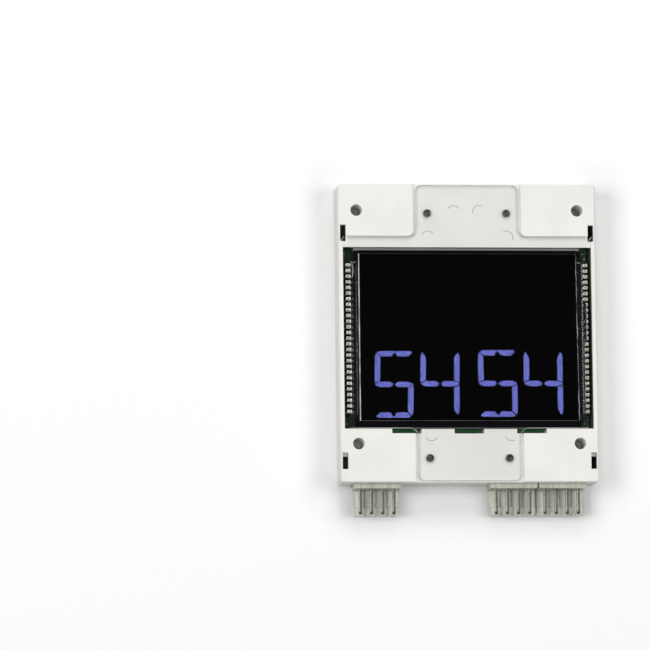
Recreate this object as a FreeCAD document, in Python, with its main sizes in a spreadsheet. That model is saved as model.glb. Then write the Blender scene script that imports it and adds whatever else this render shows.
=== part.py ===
import FreeCAD, Part
import Sketcher
import math
import os

# Elevator display board: a liquid-crystal display with its circuit board in a moulded front housing.
# Z is the way the display faces, Y is up on the display, and the origin is the centre of the
# four mounting holes, on the housing's rear plane. Lengths are in millimetres.

drivingSizes = {
    # housing
    "holeSpacingX": 78.6,         # mounting holes, centre to centre across
    "holeSpacingY": 82.8,         # mounting holes, centre to centre up the board
    "cornerHole": 4.1,            # mounting hole
    "cornerPost": 7.6,            # square post round each hole, down to the rear plane
    "sideMargin": 6.5,            # holes to the side edges
    "topMargin": 9.4,             # upper holes to the top edge
    "bottomMargin": 13.7,         # lower holes to the bottom edge
    "upperFlange": 13.05,         # upper holes down to the window
    "lowerFlange": 5.25,          # lower holes up to the window
    "wallThickness": 1.6,
    "facePlate": 1.6,             # plate under the cover
    "outerCorner": 1.2,
    "frontChamfer": 0.4,
    "channelWidth": 38.4,         # recess for the cover's tabs
    "shoulderRise": 3.9,          # ledge above the window that carries the cover
    "padCorner": 1.8,
    "notchPitch": 22.2,
    "notchWidth": 10.5,
    "notchDepth": 1.6,
    "lipThickness": 1.2,          # walls that hang down along the window's top and bottom
    "lipDrop": 4.4,
    "slotWidth": 2.0,
    "slotLength": 5.8,
    "slotInset": 1.7,             # slot centres inside the side edges
    "topSlotDrop": 8.1,           # upper slots below the upper holes
    "bottomSlotDrop": 6.1,        # lower slots below the lower holes
    "hookReach": 1.0,
    "hookLength": 5.0,
    "hookRise": 1.2,
    "ribThickness": 1.0,
    "ribDrop": 2.0,
    "ribOffset": 20.5,
    "cutOver": 1.0,               # cuts that run out past an edge
    # clear cover and its screws
    "coverThickness": 1.0,
    "coverSideGap": 1.8,
    "coverClearance": 0.3,
    "tabGap": 1.0,                # tab to the side of its channel
    "tabInnerRound": 3.0,
    "tabOuterRound": 2.0,
    "coverCorner": 0.8,
    "bottomTabSetback": 0.6,
    "screwOffset": 14.1,
    "topScrewDrop": 1.0,          # upper screws below the upper holes
    "bottomScrewDrop": 5.1,       # lower screws below the lower holes
    "screwHead": 2.7,
    "screwHeadHeight": 0.6,
    "screwShank": 1.4,
    "screwLength": 5.0,
    "screwClearance": 0.1,        # around the shank
    "screwPost": 5.0,
    "crossRecess": 1.7,
    # display cell
    "lcdGap": 0.2,                # under the cover
    "polarizerThickness": 0.2,
    "glassThickness": 1.1,
    "cellGap": 0.1,
    "glassSideGap": 4.0,          # rear glass to the housing's side wall
    "glassEndGap": 0.75,          # glasses to the window's ends
    "glassDrop": 0.3,             # glass centre below the window's centre
    "ledgeWidth": 1.3,            # rear glass beyond the front glass
    "polarizerInset": 0.2,
    "polarizerEndGap": 2.6,
    "polarizerRise": 0.33,        # polarizer centre above the window's centre
    "sealWidth": 1.2,
    # digits
    "digitHeight": 24.0,
    "digitFootMargin": 1.3,       # digits above the polarizer's lower edge
    "digitSideMargin": 5.3,       # outer digits inside the polarizer's sides
    "digitGap": 1.9,              # between the digits of a pair
    "pairGap": 6.4,
    "digitShift": 0.35,
    "strokeWidth": 2.25,
    "segmentGap": 0.35,
    "digitRound": 1.6,
    # clip pins of the display
    "lcdPinPitch": 2.0,
    "pinRowMargin": 5.4,          # glass ends to the first pin, at least
    "pinSideGap": 1.4,            # legs to the housing's side wall
    "pinHeadWidth": 1.2,
    "pinLegWidth": 0.6,
    "pinMetal": 0.3,
    "clipReach": 0.8,
    "pinTail": 0.9,               # below the circuit board
    "slotClearance": 0.2,
    # backlight
    "frameInset": 1.4,            # frame inside the rear glass
    "frameWall": 1.2,
    "frameFloor": 1.0,
    "frameTopBar": 0.8,
    "frameLeg": 3.0,
    "frameLegHeight": 2.1,
    "frameLegInset": 5.8,
    "framePeg": 1.4,
    "diffuserThickness": 0.3,
    "guideThickness": 2.5,
    "reflectorThickness": 0.2,
    "sheetClearance": 0.2,
    "ledCount": 8,
    "ledWidth": 3.0,
    "ledDepth": 0.8,
    "ledHeight": 1.6,
    "ledStripThickness": 0.4,
    # circuit board
    "pcbThickness": 1.6,
    "pcbLift": 1.4,               # rear face above the housing's rear plane
    "pcbClearance": 0.3,
    # pin headers
    "headerPitch": 3.96,
    "headerPins": 4,
    "headerWidth": 16.8,
    "headerHeight": 8.7,
    "headerOverhang": 1.8,        # block beyond the housing's bottom edge
    "headerLift": 1.3,
    "headerGap": 0.55,            # between the two neighbouring headers
    "leftHeaderGap": 5.0,         # header to the housing's left edge
    "rightHeaderGap": 4.2,
    "plateThickness": 1.5,
    "plateLength": 9.1,
    "plateBevel": 0.4,
    "latchHeight": 0.5,
    "latchSetback": 0.6,
    "latchRamp": 1.2,
    "latchLand": 0.8,
    "blockChamfer": 0.4,
    "grooveWidth": 0.8,
    "cutoutClearance": 0.2,
    "headerPin": 1.14,
    "headerPinHeight": 5.1,       # pin axis above the block's underside
    "headerPinReach": 9.0,
    "headerPinBend": 2.0,         # from the block to the leg
    "headerPinBevel": 0.7,
    "headerPinTaper": 0.35,
    "fitClearance": 0.05,
    # parts on the circuit board
    "controllerBody": 7.0,
    "controllerPitch": 0.8,
    "controllerLeads": 8,         # a side
    "driverWidth": 6.1,
    "driverLength": 9.7,
    "driverPitch": 0.65,
    "driverLeads": 14,            # a side
    "driverX": 20.0,
    "packageHeight": 1.4,
    "packageChamfer": 0.2,
    "standOff": 0.1,
    "leadReach": 1.0,
    "leadMetal": 0.15,
    "inductorSide": 7.0,
    "inductorHeight": 4.0,
    "capacitorDiameter": 6.3,
    "capacitorHeight": 5.2,
    "capacitorFoot": 1.0,
    "capacitorInset": 0.2,        # can inside its foot
    "capacitorInboard": 12.3,     # from the mounting holes towards the middle
    "smallPackageWidth": 3.9,
    "smallPackageLength": 4.9,
    "smallPitch": 1.27,
    "smallLeads": 4,
    "diodeLength": 4.3,
    "diodeWidth": 2.6,
    "diodeHeight": 2.2,
    "crystalLength": 5.0,
    "crystalWidth": 3.2,
    "crystalHeight": 0.9,
    "crystalDrop": 12.4,          # below the controller
    "chipLength": 2.0,
    "chipWidth": 1.25,
    "chipHeight": 0.5,
    "resistorCount": 12,
    "resistorPitch": 3.1,
    "resistorRise": 13.0,         # row above the controller
    "ceramicCount": 6,
    "ceramicPitch": 5.0,
    "ceramicHeight": 0.8,
    "ceramicDrop": 17.4,          # row below the controller
}

doc = FreeCAD.newDocument("DisplayBoard")
sheet = doc.addObject("Spreadsheet::Sheet", "dims")
for row, (alias, size) in enumerate(drivingSizes.items(), start=1):
    sheet.set("A%d" % row, alias)
    sheet.set("B%d" % row, str(size))
    sheet.setAlias("B%d" % row, alias)
doc.recompute()


def number(expression):
    """value of an expression over the sheet"""
    return float(sheet.evalExpression(str(expression)))


def minus(expression):
    return "-(%s)" % expression


# Places that several pieces share, as expressions over the sheet.
holeX = "(dims.holeSpacingX / 2)"
holeY = "(dims.holeSpacingY / 2)"
outerHalf = "(dims.holeSpacingX / 2 + dims.sideMargin)"
innerHalf = "(dims.holeSpacingX / 2 + dims.sideMargin - dims.wallThickness)"
topEdge = "(dims.holeSpacingY / 2 + dims.topMargin)"
bottomEdge = "(-dims.holeSpacingY / 2 - dims.bottomMargin)"
windowTop = "(dims.holeSpacingY / 2 - dims.upperFlange)"
windowBottom = "(-dims.holeSpacingY / 2 + dims.lowerFlange)"
windowHeight = "(dims.holeSpacingY - dims.upperFlange - dims.lowerFlange)"
shoulder = windowTop + " + dims.shoulderRise"
channelHalf = "(dims.channelWidth / 2)"
slotX = "(%s - dims.slotInset)" % outerHalf
topSlotY = "(dims.holeSpacingY / 2 - dims.topSlotDrop)"
bottomSlotY = "(-dims.holeSpacingY / 2 - dims.bottomSlotDrop)"
topScrewY = "(dims.holeSpacingY / 2 - dims.topScrewDrop)"
bottomScrewY = "(-dims.holeSpacingY / 2 - dims.bottomScrewDrop)"

# Levels above the rear plane: the board, then up through the display to the front face.
pcbRear = "dims.pcbLift"
pcbFront = "(dims.pcbLift + dims.pcbThickness)"
frameUnder = "(%s + dims.frameLegHeight)" % pcbFront
frameFloorFace = "(%s + dims.frameFloor)" % frameUnder
reflectorFace = "(%s + dims.reflectorThickness)" % frameFloorFace
guideFace = "(%s + dims.guideThickness)" % reflectorFace
diffuserFace = "(%s + dims.diffuserThickness)" % guideFace
rearGlassBack = "(%s + dims.polarizerThickness)" % diffuserFace
rearGlassFace = "(%s + dims.glassThickness)" % rearGlassBack
cellFace = "(%s + dims.cellGap)" % rearGlassFace
frontGlassFace = "(%s + dims.glassThickness)" % cellFace
polarizerFace = "(%s + dims.polarizerThickness)" % frontGlassFace
recessFloor = "(%s + dims.lcdGap)" % polarizerFace
frontFace = "(%s + dims.coverThickness)" % recessFloor
plateUnder = "(%s - dims.facePlate)" % recessFloor

# The display's own centre, half widths and edges.
displayY = "((dims.lowerFlange - dims.upperFlange) / 2)"
rearGlassHalf = "(%s - dims.glassSideGap)" % innerHalf
frontGlassHalf = "(%s - dims.ledgeWidth)" % rearGlassHalf
polarizerHalf = "(%s - dims.polarizerInset)" % frontGlassHalf
glassHeight = "(%s - 2 * dims.glassEndGap)" % windowHeight
glassY = "(%s - dims.glassDrop)" % displayY
polarizerHeight = "(%s - 2 * dims.polarizerEndGap)" % windowHeight
polarizerY = "(%s + dims.polarizerRise)" % displayY
frameHalf = "(%s - dims.frameInset)" % rearGlassHalf
frameTop = "(%s - dims.coverClearance / 2)" % windowTop
frameBottom = "(%s + dims.coverClearance)" % windowBottom
lcdPinX = "(%s - dims.pinSideGap)" % innerHalf
lcdPinSteps = "floor((%s - 2 * dims.pinRowMargin) / dims.lcdPinPitch)" % glassHeight
firstPinY = "(%s - %s * dims.lcdPinPitch / 2)" % (displayY, lcdPinSteps)

# The circuit board's edges, and the pin headers.
pcbHalf = "(%s - dims.pcbClearance)" % innerHalf
pcbTop = "(%s - dims.wallThickness - dims.pcbClearance)" % topEdge
pcbBottom = "(%s + dims.wallThickness + dims.pcbClearance)" % bottomEdge
headerFront = "(%s - dims.headerOverhang)" % bottomEdge
headerTop = "(dims.headerLift + dims.headerHeight)"
headerPinZ = "(dims.headerLift + dims.headerPinHeight)"
rightHeaderX = "(%s - dims.rightHeaderGap - dims.headerWidth / 2)" % outerHalf
headerCentres = {
    "left": "(dims.leftHeaderGap + dims.headerWidth / 2 - %s)" % outerHalf,
    "middle": "(%s - dims.headerWidth - dims.headerGap)" % rightHeaderX,
    "right": rightHeaderX,
}


def bodyNamed(name):
    body = doc.addObject("PartDesign::Body", name)
    body.Label = name
    return body


def originPart(body, role):
    return [part for part in body.Origin.OriginFeatures if part.Role == role][0]


def sketchOn(body, name, role="XY_Plane", offset=None):
    """empty sketch on one of the body's own origin planes, raised along the plane's normal"""
    sketch = body.newObject("Sketcher::SketchObject", name)
    sketch.AttachmentSupport = (originPart(body, role), [""])
    sketch.MapMode = "FlatFace"
    if offset is not None:
        sketch.setExpression("AttachmentOffset.Base.z", offset)
    return sketch


def tiePoint(sketch, geometry, point, direction, expression):
    """hold one coordinate of a sketch point at an expression's value"""
    value = number(expression)
    if abs(value) < 1e-9:
        axis = -2 if direction == "X" else -1
        sketch.addConstraint(Sketcher.Constraint("PointOnObject", geometry, point, axis))
        return
    ends = (-1, 1, geometry, point)
    if value < 0:
        ends = (geometry, point, -1, 1)
        expression = minus(expression)
    constraint = Sketcher.Constraint("Distance" + direction, *ends, abs(value))
    index = sketch.addConstraint(constraint)
    sketch.setExpression("Constraints[%d]" % index, expression)


def addPolygon(sketch, points):
    """closed outline of straight edges through points given as pairs of expressions"""
    first = sketch.GeometryCount
    corners = [FreeCAD.Vector(number(x), number(y), 0) for x, y in points]
    for start, end in zip(corners, corners[1:] + corners[:1]):
        sketch.addGeometry(Part.LineSegment(start, end), False)
    for index in range(len(points)):
        following = first + (index + 1) % len(points)
        sketch.addConstraint(Sketcher.Constraint("Coincident", first + index, 2, following, 1))
    for index, (x, y) in enumerate(points):
        tiePoint(sketch, first + index, 1, "X", x)
        tiePoint(sketch, first + index, 1, "Y", y)


def addRectangle(sketch, left, right, bottom, top):
    addPolygon(sketch, [(left, bottom), (right, bottom), (right, top), (left, top)])


def addCentredRectangle(sketch, x, y, width, height):
    addRectangle(sketch, "%s - (%s) / 2" % (x, width), "%s + (%s) / 2" % (x, width),
                 "%s - (%s) / 2" % (y, height), "%s + (%s) / 2" % (y, height))


def addCircle(sketch, x, y, diameter):
    centre = FreeCAD.Vector(number(x), number(y), 0)
    circle = Part.Circle(centre, FreeCAD.Vector(0, 0, 1), number(diameter) / 2)
    index = sketch.addGeometry(circle, False)
    tiePoint(sketch, index, 3, "X", x)
    tiePoint(sketch, index, 3, "Y", y)
    size = sketch.addConstraint(Sketcher.Constraint("Diameter", index, number(diameter)))
    sketch.setExpression("Constraints[%d]" % size, diameter)


def pad(body, sketch, length, down=False, centred=False):
    feature = body.newObject("PartDesign::Pad", sketch.Name + "Pad")
    feature.Profile = sketch
    feature.Reversed = down
    if centred:
        feature.SideType = "Symmetric"
    feature.setExpression("Length", length)
    body.Tip = feature
    return feature


def pocket(body, sketch, depth, up=False, centred=False):
    """cut below the sketch, or above it where up is true"""
    feature = body.newObject("PartDesign::Pocket", sketch.Name + "Pocket")
    feature.Profile = sketch
    feature.Reversed = up
    if centred:
        feature.SideType = "Symmetric"
    feature.setExpression("Length", depth)
    body.Tip = feature
    return feature


def edgesWhere(feature, wanted):
    """names of the feature's straight edges that a test of their middle and direction picks"""
    doc.recompute()
    names = []
    for index, edge in enumerate(feature.Shape.Edges, start=1):
        if edge.Curve.TypeId != "Part::GeomLine":
            continue
        middle = edge.CenterOfMass
        direction = edge.tangentAt(edge.FirstParameter)
        if wanted(middle, direction):
            names.append("Edge%d" % index)
    return names


def near(value, expression):
    return abs(value - number(expression)) < 0.01


def uprightAt(places):
    """test for edges along Z at any of the given places"""
    def wanted(middle, direction):
        return abs(direction.z) > 0.99 and any(near(middle.x, x) and near(middle.y, y) for x, y in places)
    return wanted


def dress(body, kind, feature, edges, size, name):
    """fillet or chamfer of the named edges"""
    treated = body.newObject("PartDesign::" + kind, name)
    treated.Base = (feature, edges)
    treated.setExpression("Radius" if kind == "Fillet" else "Size", size)
    body.Tip = treated
    return treated


def repeatAlong(body, features, role, spacing, count):
    """the features repeated along one of the body's origin axes"""
    pattern = body.newObject("PartDesign::LinearPattern", features[0].Name + "Row")
    pattern.Originals = features
    pattern.Direction = (originPart(body, role), [""])
    pattern.Mode = "Spacing"
    pattern.setExpression("Offset", spacing)
    pattern.setExpression("Occurrences", count)
    body.Tip = pattern
    return pattern


def edgesAtLevel(shape, level):
    """edges of a shape whose middle lies at a level"""
    return [edge for edge in shape.Edges if abs(edge.CenterOfMass.z - level) < 0.01]


def plate(name, centre, size, bottom):
    """flat rectangular sheet, its centre and size across X and Y and its thickness as expressions"""
    box = doc.addObject("Part::Box", name)
    box.Label = name
    box.setExpression("Length", size[0])
    box.setExpression("Width", size[1])
    box.setExpression("Height", size[2])
    box.setExpression("Placement.Base.x", "%s - (%s) / 2" % (centre[0], size[0]))
    box.setExpression("Placement.Base.y", "%s - (%s) / 2" % (centre[1], size[1]))
    box.setExpression("Placement.Base.z", bottom)
    return box


def group(name, solids):
    """separate solids in one node"""
    feature = doc.addObject("Part::Feature", name)
    feature.Label = name
    feature.Shape = Part.makeCompound(solids)
    return feature


def cornerPlaces(x, top, bottom):
    return [(side + x, y) for side in ("-", "") for y in (top, bottom)]


def makeHousing():
    """moulded tray, open at the rear, with the window and the stepped recess for the clear cover"""
    body = bodyNamed("front_housing")

    outline = sketchOn(body, "trayOutline")
    addRectangle(outline, minus(outerHalf), outerHalf, bottomEdge, topEdge)
    block = pad(body, outline, frontFace)
    corners = [(x, y) for x in (minus(outerHalf), outerHalf) for y in (bottomEdge, topEdge)]
    uprights = edgesWhere(block, uprightAt(corners))
    block = dress(body, "Fillet", block, uprights, "dims.outerCorner", "sideCorners")
    doc.recompute()
    rim = []
    for index, edge in enumerate(block.Shape.Edges, start=1):
        if near(edge.BoundBox.ZMin, frontFace) and near(edge.BoundBox.ZMax, frontFace):
            rim.append("Edge%d" % index)
    dress(body, "Chamfer", block, rim, "dims.frontChamfer", "frontRim")

    hollow = sketchOn(body, "hollow")
    addRectangle(hollow, minus(innerHalf), innerHalf,
                 bottomEdge + " + dims.wallThickness", topEdge + " - dims.wallThickness")
    pocket(body, hollow, plateUnder, up=True)

    window = sketchOn(body, "window", offset=frontFace)
    addRectangle(window, minus(innerHalf), innerHalf, windowBottom, windowTop)
    pocket(body, window, "dims.coverThickness + dims.facePlate")

    recess = sketchOn(body, "coverRecess", offset=frontFace)
    beyond = topEdge + " + dims.cutOver"
    addPolygon(recess, [
        (minus(innerHalf), windowTop), (innerHalf, windowTop), (innerHalf, shoulder),
        (channelHalf, shoulder), (channelHalf, beyond), (minus(channelHalf), beyond),
        (minus(channelHalf), shoulder), (minus(innerHalf), shoulder),
    ])
    addRectangle(recess, minus(channelHalf), channelHalf, bottomEdge + " - dims.cutOver", windowBottom)
    stepped = pocket(body, recess, "dims.coverThickness")
    padCorners = [(minus(channelHalf), shoulder), (channelHalf, shoulder)]
    uprights = edgesWhere(stepped, uprightAt(padCorners))
    dress(body, "Fillet", stepped, uprights, "dims.padCorner", "padCorners")

    lips = sketchOn(body, "windowLips", offset=plateUnder)
    for low, high in ((windowTop, windowTop + " + dims.lipThickness"),
                      (windowBottom + " - dims.lipThickness", windowBottom)):
        addRectangle(lips, minus(rearGlassHalf), rearGlassHalf, low, high)
    pad(body, lips, "dims.lipDrop", down=True)

    ribs = sketchOn(body, "flangeRibs", offset=plateUnder)
    for side in ("-", ""):
        x = side + "dims.ribOffset"
        left = x + " - dims.ribThickness / 2"
        right = x + " + dims.ribThickness / 2"
        addRectangle(ribs, left, right,
                     windowTop + " + dims.lipThickness", topEdge + " - dims.wallThickness")
    pad(body, ribs, "dims.ribDrop", down=True)

    posts = sketchOn(body, "cornerPosts", offset=plateUnder)
    for x, y in cornerPlaces(holeX, holeY, minus(holeY)):
        addCentredRectangle(posts, x, y, "dims.cornerPost", "dims.cornerPost")
    pad(body, posts, plateUnder, down=True)
    webs = sketchOn(body, "cornerWebs", offset=plateUnder)
    webStart = holeX + " + dims.cornerPost / 2"
    for y in (holeY, minus(holeY)):
        low = y + " - dims.ribThickness / 2"
        high = y + " + dims.ribThickness / 2"
        addRectangle(webs, webStart, innerHalf, low, high)
        addRectangle(webs, minus(innerHalf), minus(webStart), low, high)
    pad(body, webs, "%s - %s" % (plateUnder, pcbFront), down=True)
    screwPosts = sketchOn(body, "screwPosts", offset=plateUnder)
    for x, y in cornerPlaces("dims.screwOffset", topScrewY, bottomScrewY):
        addCentredRectangle(screwPosts, x, y, "dims.screwPost", "dims.screwPost")
    pad(body, screwPosts, "dims.screwLength", down=True)

    holes = sketchOn(body, "cornerHoles", offset=frontFace)
    for x, y in cornerPlaces(holeX, holeY, minus(holeY)):
        addCircle(holes, x, y, "dims.cornerHole")
    pocket(body, holes, frontFace)
    pilots = sketchOn(body, "screwPilots", offset=recessFloor)
    for x, y in cornerPlaces("dims.screwOffset", topScrewY, bottomScrewY):
        addCircle(pilots, x, y, "dims.screwShank + 2 * dims.screwClearance")
    pocket(body, pilots, "dims.screwLength")

    notches = sketchOn(body, "windowNotches", offset=frontFace)
    for step in (-1, 0, 1):
        x = "%d * dims.notchPitch" % step
        addRectangle(notches, x + " - dims.notchWidth / 2", x + " + dims.notchWidth / 2",
                     windowBottom + " - dims.notchDepth", windowBottom)
    pocket(body, notches, frontFace)

    # Each slot reaches back to its hook, which holds the circuit board's rear face.
    slots = sketchOn(body, "hookSlots", offset=frontFace)
    for x, y in cornerPlaces(slotX, topSlotY, bottomSlotY):
        addCentredRectangle(slots, x, y, "dims.slotWidth", "dims.slotLength")
    pocket(body, slots, "%s - %s" % (frontFace, pcbRear))
    for row, y in (("upper", topSlotY), ("lower", bottomSlotY)):
        hooks = sketchOn(body, row + "Hooks", "XZ_Plane", minus(y))
        for side in ("-", ""):
            root = side + innerHalf
            tip = side + "(%s - dims.hookReach)" % innerHalf
            addPolygon(hooks, [
                (root, pcbRear + " - dims.hookRise"), (root, pcbRear),
                (tip, pcbRear), (tip, pcbRear + " - dims.hookRise / 3"),
            ])
        pad(body, hooks, "dims.hookLength", centred=True)

    cutouts = sketchOn(body, "headerCutouts")
    low = bottomEdge + " - dims.cutOver"
    high = bottomEdge + " + dims.wallThickness + dims.cutOver"
    half = "(dims.headerWidth / 2 + dims.cutoutClearance)"
    for first, last in (("left", "left"), ("middle", "right")):
        addRectangle(cutouts, "%s - %s" % (headerCentres[first], half),
                     "%s + %s" % (headerCentres[last], half), low, high)
    pocket(body, cutouts, headerTop + " + dims.cutoutClearance", up=True)
    return body


def makeClearCover():
    """clear plate over the display with a screwed tab at the top and the bottom"""
    body = bodyNamed("clear_cover")
    half = "(%s - dims.coverSideGap)" % innerHalf
    tabHalf = "(%s - dims.tabGap)" % channelHalf
    top = "(%s - dims.coverClearance)" % shoulder
    bottom = "(%s + dims.coverClearance / 2)" % windowBottom
    tabTop = "(%s - dims.coverClearance)" % topEdge
    tabBottom = "(%s + dims.bottomTabSetback)" % bottomEdge
    outline = sketchOn(body, "coverOutline", offset=recessFloor)
    addPolygon(outline, [
        (minus(half), bottom), (minus(tabHalf), bottom), (minus(tabHalf), tabBottom), (tabHalf, tabBottom),
        (tabHalf, bottom), (half, bottom), (half, top), (tabHalf, top),
        (tabHalf, tabTop), (minus(tabHalf), tabTop), (minus(tabHalf), top), (minus(half), top),
    ])
    sheetPad = pad(body, outline, "dims.coverThickness")

    inner = [(x, y) for x in (minus(tabHalf), tabHalf) for y in (bottom, top)]
    outer = [(x, y) for x in (minus(tabHalf), tabHalf) for y in (tabBottom, tabTop)]
    ends = [(x, y) for x in (minus(half), half) for y in (bottom, top)]
    treatments = [("Fillet", "tabRoots", inner, "dims.tabInnerRound"),
                  ("Fillet", "tabEnds", outer, "dims.tabOuterRound"),
                  ("Chamfer", "coverCorners", ends, "dims.coverCorner")]
    step = sheetPad
    for kind, name, places, size in treatments:
        step = dress(body, kind, step, edgesWhere(step, uprightAt(places)), size, name)

    holes = sketchOn(body, "coverHoles", offset=frontFace)
    for x, y in cornerPlaces("dims.screwOffset", topScrewY, bottomScrewY):
        addCircle(holes, x, y, "dims.screwShank + 2 * dims.screwClearance")
    pocket(body, holes, "dims.coverThickness")
    sinks = sketchOn(body, "coverCounterbores", offset=frontFace)
    for x, y in cornerPlaces("dims.screwOffset", topScrewY, bottomScrewY):
        addCircle(sinks, x, y, "dims.screwHead + 2 * dims.screwClearance")
    pocket(body, sinks, "dims.screwHeadHeight")
    return body


def makeScrews():
    """four flat-headed screws with a cross recess and an eight-sided shank"""
    head = number("dims.screwHead") / 2
    shank = number("dims.screwShank") / 2
    sink = number("dims.screwHeadHeight")
    face = number(frontFace)
    length = number("dims.screwLength")
    slot = number("dims.crossRecess")
    screws = []
    for x, y in cornerPlaces("dims.screwOffset", topScrewY, bottomScrewY):
        corners = [math.radians(45 * index) for index in range(8)]
        points = [FreeCAD.Vector(shank * math.cos(turn), shank * math.sin(turn), face - length)
                  for turn in corners]
        screw = Part.Face(Part.makePolygon(points + points[:1])).extrude(FreeCAD.Vector(0, 0, length - sink))
        screw = screw.fuse(Part.makeCylinder(head, sink, FreeCAD.Vector(0, 0, face - sink)))
        for long, wide in ((slot, slot / 4), (slot / 4, slot)):
            corner = FreeCAD.Vector(-long / 2, -wide / 2, face - sink / 2)
            screw = screw.cut(Part.makeBox(long, wide, sink, corner))
        screw.translate(FreeCAD.Vector(number(x), number(y), 0))
        screws.append(screw)
    return group("cover_screws", screws)


def makeCell():
    """the two glasses with their polarizers, and the glue frame between the glasses"""
    centre = ("0", glassY)
    frontWidth = "2 * " + frontGlassHalf
    glass = (glassHeight, "dims.glassThickness")
    plate("lcd_rear_glass", centre, ("2 * " + rearGlassHalf,) + glass, rearGlassBack)
    plate("lcd_front_glass", centre, (frontWidth,) + glass, cellFace)
    film = (polarizerHeight, "dims.polarizerThickness")
    plate("front_polarizer", ("0", polarizerY), ("2 * " + polarizerHalf,) + film, frontGlassFace)
    rearWidth = "2 * (%s - dims.frameWall - dims.sheetClearance)" % frameHalf
    plate("rear_polarizer", ("0", polarizerY), (rearWidth,) + film, diffuserFace)

    outside = (frontWidth, glassHeight, "dims.cellGap")
    inside = (frontWidth + " - 2 * dims.sealWidth", glassHeight + " - 2 * dims.sealWidth", "dims.cellGap")
    outer = plate("sealOuter", centre, outside, rearGlassFace)
    inner = plate("sealInner", centre, inside, rearGlassFace)
    seal = doc.addObject("Part::Cut", "lcd_seal")
    seal.Label = "lcd_seal"
    seal.Base = outer
    seal.Tool = inner


def segmentOutlines(digitWidth):
    """corner points of a digit's segments about its own centre, by the segment's letter"""
    width = digitWidth / 2
    height = number("dims.digitHeight") / 2
    stroke = number("dims.strokeWidth")
    gap = number("dims.segmentGap")
    half = stroke / 2
    cut = number("dims.digitRound")
    inner = width - stroke
    shapes = {}
    # Upright bars: mitred at the bar that crosses them, with the digit's outer corner cut off.
    outerEnd = height - cut
    innerEnd = height - stroke - gap
    bar = [(width, gap + half / 2), (width, outerEnd), (width - cut / 2, height - cut / 3),
           (inner, innerEnd), (inner, half + gap), (width - half, gap)]
    shapes["b"] = [bar]
    shapes["f"] = [[(-x, y) for x, y in bar]]
    shapes["c"] = [[(x, -y) for x, y in bar]]
    shapes["e"] = [[(-x, -y) for x, y in bar]]
    # Level bars in two halves that meet in a point, the way the lit display shows them.
    tip = gap / 2
    outerBar = [(tip, height - stroke), (inner - gap, height - stroke),
                (width - cut / 2 - gap, height - cut / 3 + gap / 2),
                (width - cut - gap, height), (tip + half, height)]
    shapes["a"] = [outerBar, [(-x, y) for x, y in outerBar]]
    shapes["d"] = [[(x, -y) for x, y in outerBar], [(-x, -y) for x, y in outerBar]]
    middle = [(tip, -half), (inner, -half), (inner + half - gap / 2, 0), (inner, half), (tip, half),
              (tip + half / 2, 0)]
    shapes["g"] = [middle, [(-x, y) for x, y in middle]]
    return shapes


def makeDigits():
    """lit segments of the two pairs of digits, lying in the gap between the glasses"""
    lit = {"5": "afgcd", "4": "fgbc"}
    half = number(polarizerHalf)
    gap = number("dims.digitGap")
    pairWidth = half - number("dims.digitSideMargin") - number("dims.pairGap") / 2
    digitWidth = (pairWidth - gap) / 2
    shapes = segmentOutlines(digitWidth)
    outerX = half - number("dims.digitSideMargin") - digitWidth / 2
    innerX = outerX - digitWidth - gap
    shift = number("dims.digitShift")
    foot = number(polarizerY) - number(polarizerHeight) / 2 + number("dims.digitFootMargin")
    centreY = foot + number("dims.digitHeight") / 2
    base = number(rearGlassFace)
    thickness = number("dims.cellGap")
    solids = []
    for digit, place in (("5", -outerX), ("4", -innerX), ("5", innerX), ("4", outerX)):
        x = place + shift
        for letter in lit[digit]:
            for outline in shapes[letter]:
                points = [FreeCAD.Vector(x + across, centreY + up, base) for across, up in outline]
                face = Part.Face(Part.makePolygon(points + points[:1]))
                solids.append(face.extrude(FreeCAD.Vector(0, 0, thickness)))
    return group("lit_segments", solids)


def makeLcdPins(name, side):
    """row of clip pins: a clip on the glass ledge, and a leg through the board"""
    body = bodyNamed(name)
    sign = "-" if side == "left" else ""
    metal = "dims.pinMetal"
    back = "(%s + %s)" % (rearGlassHalf, metal)
    legInner = "(%s - %s / 2)" % (lcdPinX, metal)
    legOuter = "(%s + %s / 2)" % (lcdPinX, metal)
    upper = "(%s + %s)" % (rearGlassFace, metal)
    lower = "(%s - %s)" % (rearGlassBack, metal)
    reach = "(%s - dims.clipReach)" % rearGlassHalf
    profile = [
        (reach, rearGlassFace), (rearGlassHalf, rearGlassFace), (rearGlassHalf, rearGlassBack),
        (reach, rearGlassBack), (reach, lower), (back, lower), (back, rearGlassFace),
        (legOuter, rearGlassFace), (legOuter, upper), (reach, upper),
    ]
    clip = sketchOn(body, name + "Clip", "XZ_Plane", minus(firstPinY))
    addPolygon(clip, [(sign + x, z) for x, z in profile])
    head = pad(body, clip, "dims.pinHeadWidth", centred=True)
    leg = sketchOn(body, name + "Leg", "XZ_Plane", minus(firstPinY))
    addRectangle(leg, sign + legInner, sign + legOuter, pcbRear + " - dims.pinTail", rearGlassFace)
    stem = pad(body, leg, "dims.pinLegWidth", centred=True)
    repeatAlong(body, [head, stem], "Y_Axis", "dims.lcdPinPitch", lcdPinSteps + " + 1")
    return body


def makeSealant():
    """bead of clear resin on each ledge, between the clips and the front glass"""
    beads = []
    low = number(frontGlassHalf)
    high = number(rearGlassHalf) - number("dims.clipReach")
    base = number(rearGlassFace)
    rise = number("dims.glassThickness") / 2
    span = (number(lcdPinSteps) + 2) * number("dims.lcdPinPitch")
    start = number(displayY) - span / 2
    for sign in (-1, 1):
        points = [FreeCAD.Vector(sign * low, start, base), FreeCAD.Vector(sign * high, start, base),
                  FreeCAD.Vector(sign * low, start, base + rise)]
        face = Part.Face(Part.makePolygon(points + points[:1]))
        beads.append(face.extrude(FreeCAD.Vector(0, span, 0)))
    return group("ledge_sealant", beads)


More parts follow.
